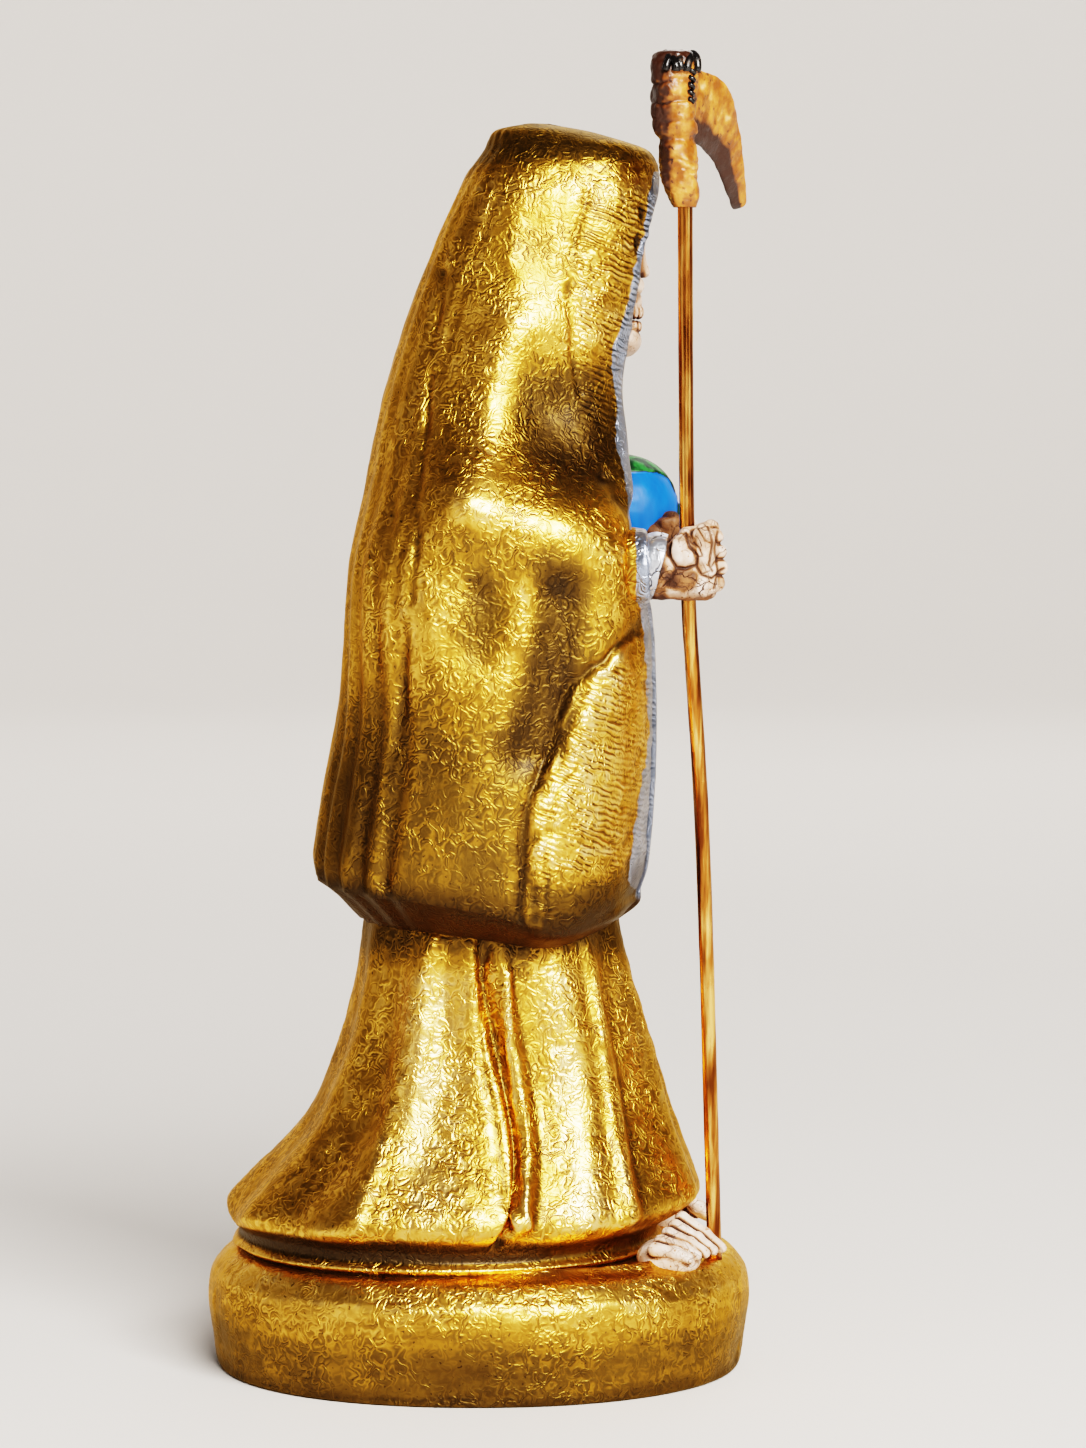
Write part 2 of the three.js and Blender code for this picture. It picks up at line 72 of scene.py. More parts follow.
def add_studio():
    """A round room with a pale floor that curves up into its wall, a large key light and soft fills."""
    radius, corner, wall = 3.2, 1.2, 3.5
    profile = [(r, 0.0) for r in (0.0, 0.5, 1.0, 1.5, radius - corner)]
    for step in range(1, 13):
        turn = step / 12 * math.pi / 2
        profile.append((radius - corner + corner * math.sin(turn), corner - corner * math.cos(turn)))
    profile.append((radius, wall))
    sides = 96
    turns = full_turn(sides)
    rows = [np.stack([r * np.cos(turns), r * np.sin(turns), np.full(sides, z)], -1) for r, z in profile[1:]]
    floor = grid_mesh("studio_floor", np.array(rows) / MM, bottom=(0, 0, 0), flip=True)
    paint = Paint("studio_pale", roughness=0.9, specular=0.1)
    grey_wall = paint.range(paint.along("Z"), 0.15, 1.1) * paint.range(paint.along("X"), 1.0, 2.4, 1, 0)
    pale = paint.mix(paint.noise(3, 2), (0.77, 0.735, 0.70), (0.80, 0.765, 0.73))
    paint.finish(paint.mix(grey_wall, pale, (0.17, 0.165, 0.16)))
    floor.data.materials.append(paint.material)

    world = bpy.data.worlds.new("studio")
    world.use_nodes = True
    world.node_tree.nodes["Background"].inputs["Color"].default_value = (0.9, 0.93, 1, 1)
    world.node_tree.nodes["Background"].inputs["Strength"].default_value = 0.11
    bpy.context.scene.world = world

    view = bpy.context.scene.view_settings
    view.view_transform = "Filmic"
    view.look = "Very High Contrast"
    view.exposure = 0.3

    target = (0, 0, 0.12)
    add_light("key", (-1.25, -0.5, 1.0), target, (1.0, 0.6), 42, (1, 0.97, 0.93))
    add_light("strip", (-1.9, -0.35, 0.3), target, (0.5, 1.3), 2.2, (1, 0.98, 0.95))
    add_light("fill_front", (-0.8, -1.5, 0.45), target, (0.6, 1.0), 2, (0.95, 0.97, 1))
    add_light("fill_back", (0.3, 1.8, 0.8), target, (0.5, 1.2), 0.6, (0.93, 0.96, 1))
    add_light("fill_far", (1.5, -0.4, 1.1), target, (0.9, 0.9), 3, (1, 0.98, 0.95))
    add_light("fill_left", (-0.9, 1.1, 0.35), target, (0.5, 1.2), 1.6, (1, 0.98, 0.95))
    add_light("backdrop", (0.9, 0, 1.9), (3, 0, 1.0), (2.4, 0.6), 29, (1, 0.955, 0.905))


# Meshes

def grid_mesh(name, grid, bottom=None, top=None, flip=False):
    """A tube of rings, each wrapped round, with fans to a bottom and a top middle. Rings go up."""
    rows, columns = grid.shape[:2]
    index = np.arange(rows * columns).reshape(rows, columns)
    beside = np.roll(index, -1, axis=1)
    quads = np.stack([index[:-1], beside[:-1], beside[1:], index[1:]], -1).reshape(-1, 4)
    points = [grid.reshape(-1, 3)]
    faces = [tuple(quad) for quad in quads.tolist()]
    for ring, middle, order in ((0, bottom, -1), (-1, top, 1)):
        if middle is not None:
            last = sum(len(part) for part in points)
            points.append(np.array([middle], float))
            faces += [(*edge[::order], last) for edge in zip(index[ring].tolist(), beside[ring].tolist())]
    if flip:
        faces = [face[::-1] for face in faces]
    return new_mesh(name, np.concatenate(points), faces)


def new_mesh(name, points, faces):
    mesh = bpy.data.meshes.new(name)
    mesh.from_pydata((points * MM).tolist(), [], faces)
    mesh.polygons.foreach_set("use_smooth", np.ones(len(mesh.polygons), bool))
    mesh.update()
    piece = bpy.data.objects.new(name, mesh)
    bpy.context.collection.objects.link(piece)
    return piece


def dress(piece, node, slot, paint, **values):
    """Gives a piece its paint and the values that the paint reads by name: one number a point, where
    missing points get the last one."""
    count = len(piece.data.vertices)
    for name, numbers in values.items():
        numbers = np.asarray(numbers, np.float32).ravel()
        numbers = np.concatenate([numbers, np.full(count - len(numbers), numbers[-1], np.float32)])
        piece.data.attributes.new(name, "FLOAT", "POINT").data.foreach_set("value", numbers)
    piece.data.materials.append(paint.material)
    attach(piece, "root")
    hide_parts(node)


def grid_normals(grid):
    along = np.roll(grid, -1, axis=1) - np.roll(grid, 1, axis=1)
    up = np.gradient(grid, axis=0)
    normal = np.cross(along, up)
    return normal / np.maximum(np.linalg.norm(normal, axis=-1, keepdims=True), 1e-9)


def blurred(grid, reach):
    """The grid evened out over a number of rows and columns."""
    for _ in range(reach):
        grid = (np.roll(grid, 1, axis=1) + 2 * grid + np.roll(grid, -1, axis=1)) / 4
        padded = np.concatenate([grid[:1], grid, grid[-1:]])
        grid = (padded[:-2] + 2 * padded[1:-1] + padded[2:]) / 4
    return grid


def hollowness(grid, reach, depth):
    """1 in hollows of a depth or more, -1 on ridges of that height, and 0 on level ground."""
    height = np.sum((grid - blurred(grid, reach)) * grid_normals(grid), axis=-1)
    return np.clip(-height / depth, -1, 1)


# Smooth functions

def between(rows, at):
    """Smooth values between stations, one array a column. A row is a height and its values."""
    rows = np.asarray(rows, float)
    z = np.clip(at, rows[0, 0], rows[-1, 0])
    i = np.clip(np.searchsorted(rows[:, 0], z) - 1, 0, len(rows) - 2)
    order = np.arange(len(rows))
    above = rows[np.minimum(order + 1, len(rows) - 1)]
    below = rows[np.maximum(order - 1, 0)]
    slopes = (above - below) / (above[:, :1] - below[:, :1])
    span = rows[i + 1, 0] - rows[i, 0]
    t = ((z - rows[i, 0]) / span)[..., None]
    span = span[..., None]
    start, rise = rows[i], rows[i + 1] - rows[i]
    a, b = slopes[i] * span, slopes[i + 1] * span
    values = start + t * (a + t * (3 * rise - 2 * a - b + t * (a + b - 2 * rise)))
    return np.moveaxis(values[..., 1:], -1, 0)


def ease(low, high, value):
    t = np.clip((value - low) / (high - low), 0, 1)
    return t * t * (3 - 2 * t)


def bump(value, middle, width):
    return np.exp(-(((value - middle) / width) ** 2))


def mix(a, b, share):
    return a + (b - a) * share


def full_turn(steps):
    return np.arange(steps) / steps * 2 * math.pi


def round_point(angle, front, back, half, squareness):
    """A rounded outline: angle 0 is the front, and a quarter turn is +X."""
    s, c = np.sin(angle), np.cos(angle)
    x = half * np.sign(s) * np.abs(s) ** (2 / squareness)
    y = (front + back) / 2 * -np.sign(c) * np.abs(c) ** (2 / squareness) + (back - front) / 2
    return x, y


def path_distance(path, y, z):
    """How far each place is from a path of [forward place, height] points."""
    nearest = np.full(np.broadcast(y, z).shape, np.inf)
    for (ay, az), (by, bz) in zip(path, path[1:]):
        run = (by - ay) ** 2 + (bz - az) ** 2
        t = np.clip(((y - ay) * (by - ay) + (z - az) * (bz - az)) / run, 0, 1)
        nearest = np.minimum(nearest, np.hypot(y - ay - t * (by - ay), z - az - t * (bz - az)))
    return nearest


def stroke(path, width, y, z):
    return bump(path_distance(path, y, z), 0, width)


def carved(folds, y, z):
    return sum(lift * stroke(path, width, y, z) for path, width, lift in folds)


def noise(points, size, seed):
    """Smooth noise from -1 to 1 with lumps of a size."""
    q = np.asarray(points) / size
    cell = np.floor(q).astype(np.int64)
    t = q - cell
    t = t * t * t * (t * (6 * t - 15) + 10)
    total = 0
    for corner in range(8):
        offset = np.array([corner & 1, corner >> 1 & 1, corner >> 2 & 1])
        x, y, z = np.moveaxis(cell + offset, -1, 0)
        code = (x * 374761393 + y * 668265263 + z * 1442695041 + seed * 974634777) & 0x7FFFFFFF
        code = ((code ^ (code >> 13)) * 1274126177) & 0x7FFFFFFF
        value = ((code ^ (code >> 16)) & 0xFFFF) / 32767.5 - 1
        total = total + value * np.prod(np.where(offset, t, 1 - t), axis=-1)
    return total


def lumps(points, *layers):
    """Layers of noise on top of each other: each is a height, a size and a seed."""
    return sum(height * noise(points, size, seed) for height, size, seed in layers)


# Forms: each takes points and gives how far they are outside it, below 0 inside.

def ball(points, centre, half):
    local = points - np.array(centre, float)
    half = np.array(half, float)
    near = np.linalg.norm(local / half, axis=-1)
    steep = np.linalg.norm(local / half ** 2, axis=-1)
    return near * (near - 1) / np.maximum(steep, 1e-6)


def bar(points, start, end, radius_start, radius_end=None):
    start, end = np.array(start, float), np.array(end, float)
    radius_end = radius_start if radius_end is None else radius_end
    run = end - start
    t = np.clip((points - start) @ run / (run @ run), 0, 1)
    away = np.linalg.norm(points - start - t[..., None] * run, axis=-1)
    return away - mix(radius_start, radius_end, t)


def block(points, centre, half, rounding):
    local = np.abs(points - np.array(centre, float)) - np.array(half, float) + rounding
    outside = np.linalg.norm(np.maximum(local, 0), axis=-1)
    return outside + np.minimum(local.max(axis=-1), 0) - rounding


def join(a, b, blend=0.0):
    if blend <= 0:
        return np.minimum(a, b)
    share = np.clip(0.5 + 0.5 * (b - a) / blend, 0, 1)
    return mix(b, a, share) - blend * share * (1 - share)


def cut(a, b, blend=0.0):
    return -join(-a, b, blend)


def skin(name, form, low, high, step, layers, carving=None):
    """A closed mesh where a form's field is 0, by surface nets: one point in each mixed cell of a
    lattice and one face across each lattice edge that leaves the form. Layers of lumps, and the carving
    function if there is one, then push each point along its normal."""
    axes = [np.arange(low[k] - 2 * step, high[k] + 2.5 * step, step) for k in range(3)]
    field = form(np.stack(np.meshgrid(*axes, indexing="ij"), -1))
    for axis in range(3):
        for border in (0, -1):
            np.moveaxis(field, axis, 0)[border] = step
    inside = field < 0
    shape = [n - 1 for n in field.shape]
    corners = [(i, j, k) for i in (0, 1) for j in (0, 1) for k in (0, 1)]
    part = lambda grid, c: grid[c[0]:c[0] + shape[0], c[1]:c[1] + shape[1], c[2]:c[2] + shape[2]]
    count = sum(part(inside, c).astype(np.int8) for c in corners)
    mixed = (count > 0) & (count < 8)
    cells = np.argwhere(mixed)
    number = np.full(shape, -1)
    number[mixed] = np.arange(len(cells))
    value = {c: field[tuple((cells + c).T)] for c in corners}
    total, hits = np.zeros((len(cells), 3)), np.zeros(len(cells))
    for c in corners:
        for axis in range(3):
            if c[axis]:
                continue
            d = tuple(1 if k == axis else c[k] for k in range(3))
            a, b = value[c], value[d]
            crosses = (a < 0) != (b < 0)
            t = np.where(crosses, a / np.where(crosses, a - b, 1), 0)
            place = np.tile(np.array(c, float), (len(cells), 1))
            place[:, axis] = t
            total += place * crosses[:, None]
            hits += crosses
    points = np.array([a[0] for a in axes]) + step * (cells + total / hits[:, None])
    slope = np.stack([sum((1 if c[k] else -1) * value[c] for c in corners) for k in range(3)], -1)
    normals = slope / np.maximum(np.linalg.norm(slope, axis=-1, keepdims=True), 1e-9)

    faces = []
    for axis in range(3):
        side, next_side = np.eye(3, dtype=int)[[(axis + 1) % 3, (axis + 2) % 3]]
        count_along = field.shape[axis] - 1
        here = np.take(inside, range(count_along), axis)
        there = np.take(inside, range(1, count_along + 1), axis)
        for leaving in (True, False):
            edges = np.argwhere(here & ~there if leaving else there & ~here)
            around = [edges, edges - side, edges - side - next_side, edges - next_side]
            quad = np.stack([number[tuple(cell.T)] for cell in around], -1)
            faces += (quad if leaving else quad[:, ::-1]).tolist()
    push = lumps(points, *layers) + (carving(points) if carving else 0)
    points = points + normals * push[:, None]
    points[:, 2] += PLINTH_HEIGHT
    return new_mesh(name, points, faces), points, normals


# Paints

class Level:
    """What comes out of a node, to be added to and multiplied as if it were a number."""

    def __init__(self, paint, socket):
        self.paint, self.socket = paint, socket

    def __add__(self, other):
        return self.paint.math("ADD", self, other)

    def __sub__(self, other):
        return self.paint.math("SUBTRACT", self, other)

    def __rsub__(self, other):
        return self.paint.math("SUBTRACT", other, self)

    def __mul__(self, other):
        return self.paint.math("MULTIPLY", self, other)


class Paint:
    """A material of one shader. Most methods add a node and give what comes out of it."""

    def __init__(self, name, roughness=0.5, metallic=0.0, specular=0.5, coat=0.0):
        self.material = bpy.data.materials.new(name)
        self.material.use_nodes = True
        self.nodes = self.material.node_tree.nodes
        self.shader = self.nodes["Principled BSDF"]
        self.shader.inputs["Roughness"].default_value = roughness
        self.shader.inputs["Metallic"].default_value = metallic
        self.shader.inputs["Specular IOR Level"].default_value = specular
        self.shader.inputs["Coat Weight"].default_value = coat
        self.place = self.node("TexCoord", "Object", {})

    def fill(self, socket, value):
        if isinstance(value, Level):
            self.material.node_tree.links.new(value.socket, socket)
        elif socket.type == "RGBA":
            socket.default_value = (*value, 1)
        else:
            socket.default_value = value

    def node(self, kind, output, inputs, **settings):
        node = self.nodes.new("ShaderNode" + kind)
        for name, value in settings.items():
            setattr(node, name, value)
        for socket, value in inputs.items():
            self.fill(node.inputs[socket], value)
        return Level(self, node.outputs[output])

    def math(self, operation, a, b=0.0):
        return self.node("Math", 0, {0: a, 1: b}, operation=operation)

    def mix(self, share, a, b):
        return self.node("Mix", "Result", {"Factor": share, "A": a, "B": b}, data_type="RGBA")

    def range(self, value, low, high, to_low=0.0, to_high=1.0):
        inputs = dict(enumerate((value, low, high, to_low, to_high)))
        return self.node("MapRange", "Result", inputs, interpolation_type="SMOOTHSTEP")

    def along(self, axis):
        return self.node("SeparateXYZ", axis, {"Vector": self.place})

    def stretched(self, *scale):
        return self.node("Mapping", "Vector", {"Vector": self.place, "Scale": scale})

    def noise(self, scale, detail=2.0, distortion=0.0, vector=None):
        inputs = {"Vector": vector or self.place, "Scale": scale, "Detail": detail, "Distortion": distortion}
        return self.node("TexNoise", "Fac", inputs)

    def cracks(self, scale, wander_scale, wander, width, darkness=1):
        """A net of lines that wander: the edges between cells whose places are pushed about by noise."""
        push = self.node("TexNoise", "Color", {"Vector": self.place, "Scale": wander_scale})
        push = self.node("VectorMath", "Vector", {0: push, 1: (0.5, 0.5, 0.5)}, operation="SUBTRACT")
        inputs = {0: push, 1: (wander, wander, wander), 2: self.place}
        place = self.node("VectorMath", "Vector", inputs, operation="MULTIPLY_ADD")
        inputs = {"Vector": place, "Scale": scale}
        edges = self.node("TexVoronoi", "Distance", inputs, feature="DISTANCE_TO_EDGE")
        return self.range(edges, 0.0, width, darkness, 0)

    def value(self, name):
        return self.node("Attribute", "Fac", {}, attribute_name=name)

    def ramp(self, value, stops):
        color = self.node("ValToRGB", "Color", {"Fac": value})
        elements = color.socket.node.color_ramp.elements
        while len(elements) < len(stops):
            elements.new(0.5)
        for element, (position, stop) in zip(elements, stops):
            element.position = position
            element.color = (*stop, 1)
        return color

    def finish(self, color, roughness=None, bumps=()):
        """Sets the colour and the roughness, and lays bumps: each is a height and the depth in metres
        that its 0 to 1 stands for."""
        looks = {"Base Color": color}
        if roughness is not None:
            looks["Roughness"] = roughness
        for height, depth in bumps:
            below = {"Normal": looks["Normal"]} if "Normal" in looks else {}
            looks["Normal"] = self.node("Bump", "Normal", {"Distance": depth, "Height": height, **below})
        for socket, value in looks.items():
            self.fill(self.shader.inputs[socket], value)
        return self


def slanted_ribs(paint, spacing):
    """Uneven ribs across a panel that run down towards the front, in broken rows."""
    height = paint.along("Z") + paint.along("Y") * -0.4
    ribs = paint.math("SINE", height * (2 * math.pi / spacing) + paint.noise(330, 2) * 9)
    return ribs * paint.range(paint.noise(420, 1, vector=paint.stretched(0.5, 0.5, 1)), 0.38, 0.58, 0.15, 1)


def gold_paint(name, brush=(1, 1, 0.09), hem=False):
    """Gold over brown, from a wash with painted shade and highlights. The cloak's has a silver hem and
    hatched strokes too.
    """
    paint = Paint(name, roughness=0.42, metallic=1.0, coat=0.15)
    paint.shader.inputs["Coat Roughness"].default_value = 0.28
    paint.shader.inputs["Specular Tint"].default_value = (0.85, 0.66, 0.42, 1)
    # The attribute read here holds a brown wash and painted shade where high, painted highlights below 0
    wash = paint.value("wash")
    patches = paint.noise(60, 3)
    brushed = paint.noise(700, 3, vector=paint.stretched(*brush))
    specks = paint.range(paint.noise(1300, 1), 0.68, 0.76)
    # The contour lines of a soft noise make squiggly strokes
    broken = paint.range(paint.noise(150, 3), 0.36, 0.62, 0.3, 1)
    squiggles = paint.math("SINE", paint.noise(540, 0.6, 1.0) * 22) * broken
    bumps = [(patches, 0.00025), (squiggles, 0.00006), (brushed, 0.00007), (paint.noise(1500, 2), 0.00003)]

    tone = wash + (patches - 0.5) * 0.45
    if hem:
        ribs = slanted_ribs(paint, 0.00107) * paint.value("hatch")
        tone = tone + ribs * -0.1
        bumps.append((ribs, 0.00011))
    tone = tone + squiggles * 0.15 + (brushed - 0.5) * 0.35 + specks * 0.4
    gold = paint.ramp(paint.range(tone, -1, 1), [
        (0.0, (1.0, 0.72, 0.34)),
        (0.38, (0.82, 0.435, 0.092)),
        (0.52, (0.48, 0.235, 0.034)),
        (0.70, (0.20, 0.110, 0.022)),
        (1.0, (0.050, 0.029, 0.011)),
    ])
    if hem:
        edge = paint.value("hem") + (paint.noise(500, 2) - 0.5) * 0.9
        silver = paint.mix(paint.noise(260, 3), (0.17, 0.21, 0.29), (0.60, 0.66, 0.78))
        # The silver hem is darkened where the attribute holds painted shade
        silver = paint.mix(paint.range(wash, 0.3, 0.9), silver, (0.10, 0.11, 0.14))
        gold = paint.mix(paint.range(edge, -0.12, 0.12), gold, silver)
        # The rim's underside is painted dark brown: a brown wash and the shade under the rim
        brown = paint.mix(patches, (0.035, 0.019, 0.008), (0.095, 0.052, 0.018))
        gold = paint.mix(paint.value("under"), gold, brown)
    paint.fill(paint.shader.inputs["Metallic"], paint.range(wash, 0.6, 1.1, 1.0, 0.65))
    return paint.finish(gold, paint.range(tone + brushed * 0.3, -0.4, 0.9, 0.29, 0.47), bumps)


def silver_paint():
    paint = Paint("silver_paint", roughness=0.36, metallic=1.0)
    blotches = paint.noise(260, 3)
    where = paint.math("MAXIMUM", paint.range(paint.noise(170, 2), 0.52, 0.62), paint.value("crack"))
    cracked = paint.cracks(230, 300, 0.004, 0.05) * where
    silver = paint.mix(blotches, (0.50, 0.53, 0.60), (0.80, 0.83, 0.88))
    # Dark in the cracks, and painted shade from the attribute
    dark = paint.math("MAXIMUM", cracked, paint.range(paint.value("wash"), 0.2, 0.8))
    color = paint.mix(dark, silver, (0.10, 0.09, 0.09))
    bumps = [(blotches, 0.0006), (1.0 - cracked, 0.0002)]
    return paint.finish(color, paint.range(blotches, 0.3, 0.7, 0.28, 0.42), bumps)


def bone_paint(name, crackle):
    """Pale bone over dark cracks. crackle is how strongly the net of cracks shows, from 0 to 1."""
    paint = Paint(name, roughness=0.55, specular=0.35)
    broken = paint.range(paint.noise(190, 2), 0.38, 0.60)
    coarse, fine = paint.cracks(300, 350, 0.0035, 0.035), paint.cracks(800, 500, 0.002, 0.04, 0.5)
    net = paint.math("MAXIMUM", coarse, fine) * broken
    lines = paint.math("MAXIMUM", net * crackle, paint.value("crack"))
    blotches = paint.noise(240, 4)
    pores = paint.range(paint.noise(1500, 1), 0.66, 0.74)
    # Darker with painted shade from the attribute, and with brown blotches and pores
    bone = paint.ramp(paint.value("wash") + blotches * 0.5 + pores * 0.35, [
        (0.10, (0.80, 0.65, 0.56)),
        (0.38, (0.56, 0.38, 0.28)),
        (0.66, (0.28, 0.125, 0.05)),
        (1.0, (0.07, 0.03, 0.015)),
    ])
    color = paint.mix(lines, bone, (0.05, 0.022, 0.012))
    bumps = [(blotches, 0.0004), (1.0 - lines, 0.0002), (paint.noise(900, 2), 0.00012)]
    return paint.finish(color, paint.range(blotches, 0.3, 0.7, 0.42, 0.65), bumps)


def globe_paint():
    paint = Paint("globe_paint", roughness=0.45, specular=0.4)
    strokes = paint.noise(500, 3, vector=paint.stretched(1, 1, 0.35))
    sea = paint.mix(strokes, (0.002, 0.075, 0.36), (0.010, 0.165, 0.64))
    green = paint.mix(paint.range(strokes, 0.4, 0.6), (0.004, 0.03, 0.01), (0.025, 0.17, 0.035))
    land = paint.value("land") + (paint.noise(700) - 0.5) * 0.3
    color = paint.mix(paint.range(land, -0.05, 0.05), sea, green)
    shore = paint.range(paint.math("ABSOLUTE", land), 0.02, 0.10, 1, 0)
    return paint.finish(paint.mix(shore, color, (0.01, 0.02, 0.02)), bumps=[(strokes, 0.0001)])


def copper_paint():
    paint = Paint("copper_wire", roughness=0.3, metallic=1.0)
    streaks = paint.noise(900, 4, vector=paint.stretched(1, 1, 0.04))
    worn = paint.noise(220, 3, vector=paint.stretched(1, 1, 0.4))
    copper = paint.ramp(streaks * 0.65 + worn * 0.35, [
        (0.40, (0.16, 0.052, 0.014)),
        (0.50, (0.46, 0.175, 0.045)),
        (0.62, (0.98, 0.55, 0.20)),
    ])
    return paint.finish(copper, paint.range(worn, 0.3, 0.7, 0.16, 0.32), [(streaks, 0.00006)])


def scythe_paint():
    paint = Paint("scythe_paint", roughness=0.42, specular=0.45, coat=0.1)
    wash = paint.value("wash")
    grain = paint.noise(420, 4)
    tan = paint.mix(paint.range(grain, 0.35, 0.65), (0.25, 0.075, 0.012), (0.56, 0.215, 0.04))
    # Pale cream on high grain where the attribute is low: painted highlights on ridges
    tan = paint.mix(paint.range(grain - wash, 0.65, 1.0), tan, (0.82, 0.46, 0.20))
    specks = paint.range(paint.noise(1100, 1), 0.62, 0.72)
    # Random stains and specks, with painted shade from the attribute
    stain_and_shade = wash + (paint.noise(170, 3) - 0.42) * 2.2 + specks * 0.5
    color = paint.mix(paint.range(stain_and_shade, 0.15, 0.95), tan, (0.040, 0.014, 0.006))
    bumps = [(grain, 0.0003), (paint.noise(1400, 2), 0.00008)]
    return paint.finish(color, paint.range(grain, 0.3, 0.7, 0.3, 0.55), bumps)


def cord_paint():
    paint = Paint("black_lashing", roughness=0.28, specular=0.6)
    worn = paint.noise(600, 3)
    color = paint.mix(paint.range(worn, 0.55, 0.75), (0.008, 0.006, 0.005), (0.07, 0.035, 0.015))
    return paint.finish(color, paint.range(worn, 0.4, 0.7, 0.2, 0.45))


# Plinth

PLINTH_LENGTH, PLINTH_WIDTH = 95.4, 88.0
PLINTH_EDGE, PLINTH_SQUARENESS = 6.5, 2.12
WELT_INSET, WELT_HEIGHT = 8.1, 1.0


def plinth_profile():
    """How far the outline is pulled in, and its height over the ground, from the foot to the middle."""
    edge, height = PLINTH_EDGE, PLINTH_HEIGHT
    rows = [
        [0, 2.5, 0], [1, 1.6, 0.9], [2, 0.7, 0.28 * height], [3, 0, 0.55 * height],
        [4, 0.06 * edge, height - 0.8 * edge], [5, 0.22 * edge, height - 0.5 * edge],
        [6, 0.52 * edge, height - 0.18 * edge], [7, edge, height], [8, WELT_INSET, height + WELT_HEIGHT],
        [9, WELT_INSET + 1.4, height + 0.2 * WELT_HEIGHT], [10, WELT_INSET + 3, height],
    ]
    return between(rows, np.linspace(0, 10, 101))


def make_plinth(paint):
    inset, z = (values[:, None] for values in plinth_profile())
    inset = np.maximum(inset, 0)
    half_length, half_width = PLINTH_LENGTH / 2 - inset, PLINTH_WIDTH / 2 - inset
    x, y = round_point(full_turn(560), half_length, half_length, half_width, PLINTH_SQUARENESS)
    grid = np.stack([x, y, np.broadcast_to(z, x.shape)], -1)
    uneven = lumps(grid, (0.3, 14, 1), (0.16, 5, 2), (0.07, 1.8, 3))
    chips = -0.14 * ease(0.5, 0.8, noise(grid, 4.5, 4))
    # No lumps at the foot, nor where the outline is at its longest and widest
    out = np.maximum(abs(x) + (PLINTH_LENGTH - PLINTH_WIDTH) / 2, abs(y))
    free = ease(0, 1.5, z) * ease(PLINTH_LENGTH / 2, PLINTH_LENGTH / 2 - 0.8, out)
    grid = grid + grid_normals(grid) * ((uneven + chips - 0.25) * free)[..., None]
    plinth = grid_mesh("statue_plinth", grid, bottom=(0, 0, 0), top=(0, 0, PLINTH_HEIGHT))
    # Painted shade at the foot and on the lower wall, a painted highlight on the shoulder
    low = 0.3 * ease(3.5, 0, z) + 0.32 * ease(15, 7, z) - 0.15 * ease(14, 18, z)
    # A painted highlight on the top and the welt
    top_highlight = -0.1 * ease(4.6, 6.5, inset)
    # Painted shade in hollows and painted highlights on lumps
    wash = 0.4 * hollowness(grid, 10, 0.45) + low + top_highlight
    dress(plinth, "statue", "gold_paint", paint, wash=wash)


# Robe

# Height, front, back and half width of the outline
ROBE_STATIONS = [
    [-2, 31, 41.5, 36.6], [3.5, 31.8, 42.4, 37], [5.2, 36, 44.2, 39.4], [7.5, 38.6, 44.2, 39.8],
    [11.7, 37.8, 40.5, 37.8], [17.9, 35.8, 34.4, 34.4], [23.3, 33.8, 29.9, 31.8], [31.5, 31.4, 26.1, 29.3],
    [38.3, 29.4, 23.7, 27.8], [46.4, 26.9, 21.7, 26.6], [55, 24.9, 20.2, 25.8], [62, 23.8, 19.5, 25],
]
ROBE_BOTTOM, ROBE_TOP = ROBE_STATIONS[0][0], ROBE_STATIONS[-1][0]
ROBE_SQUARENESS = 2.15

# Columns from the back to the front of a side, degrees from the back at the cloak and at the hem, how
# far the fold stands out, and how much higher the hem is there.
ROBE_FOLDS = [
    [0, 0, 0, 0, 0.3], [2, 15, 15, -0.9, -0.6], [4, 31, 31, 0.8, 0.4], [6, 48, 48, -0.6, 0.9],
    [9, 64, 62.5, 2.1, 0.7], [11, 73, 77, 0.1, 1.5], [13, 83, 98, 0.3, 1.2], [14, 86.5, 100.3, -1.6, 2.7],
    [15, 93, 103, 0.8, 1.6], [16, 99.5, 107.5, -0.7, 1.2], [18, 117, 119, 1.3, 1], [20, 128, 126, 1.1, 1],
    [21, 134, 132, 1.7, 1.2], [22, 143, 140, -1.3, 1], [24, 164, 162, 0.9, 2], [25, 172, 171, -0.4, 1.4],
    [26, 180, 180, 0.3, 1],
]
ROBE_COLUMNS = ROBE_FOLDS[-1][0]

# Fine carving on the robe's near side: a path of [forward place, height], a width and a lift
ROBE_CREASES = [
    ([[-2, 54.3], [-0.6, 50], [-0.9, 35.2], [-3, 26.4], [-4.7, 15.4], [-6, 8.6]], 0.7, -0.4),
    ([[-5.2, 50], [-5.6, 35.2], [-6.7, 26.4], [-8.3, 15.4], [-8.8, 8.6]], 0.7, 0.6),
    ([[-19.8, 56.6], [-20.8, 44.7], [-21.6, 35.2], [-23.5, 22.7], [-26.4, 12.4], [-27.9, 8]], 0.9, 0.45),
    ([[-21.4, 56.6], [-22.4, 44.7], [-23.2, 35.2], [-25.1, 22.7], [-28, 12.4]], 1.2, -0.25),
    ([[-6.2, 10.4], [-6.6, 9.4]], 1.1, 0.9),
    ([[7.3, 55.6], [10.8, 44.9], [13.9, 30.8], [16.8, 19], [20, 10]], 1.5, 0.5),
]

# Painted highlights on the robe's near side: a path and a width
ROBE_PAINTED_HIGHLIGHTS = [
    ([[5, 55], [6, 40], [8, 25], [10, 12]], 6), ([[-13, 52], [-14.5, 35], [-17, 20], [-19, 11]], 5),
]


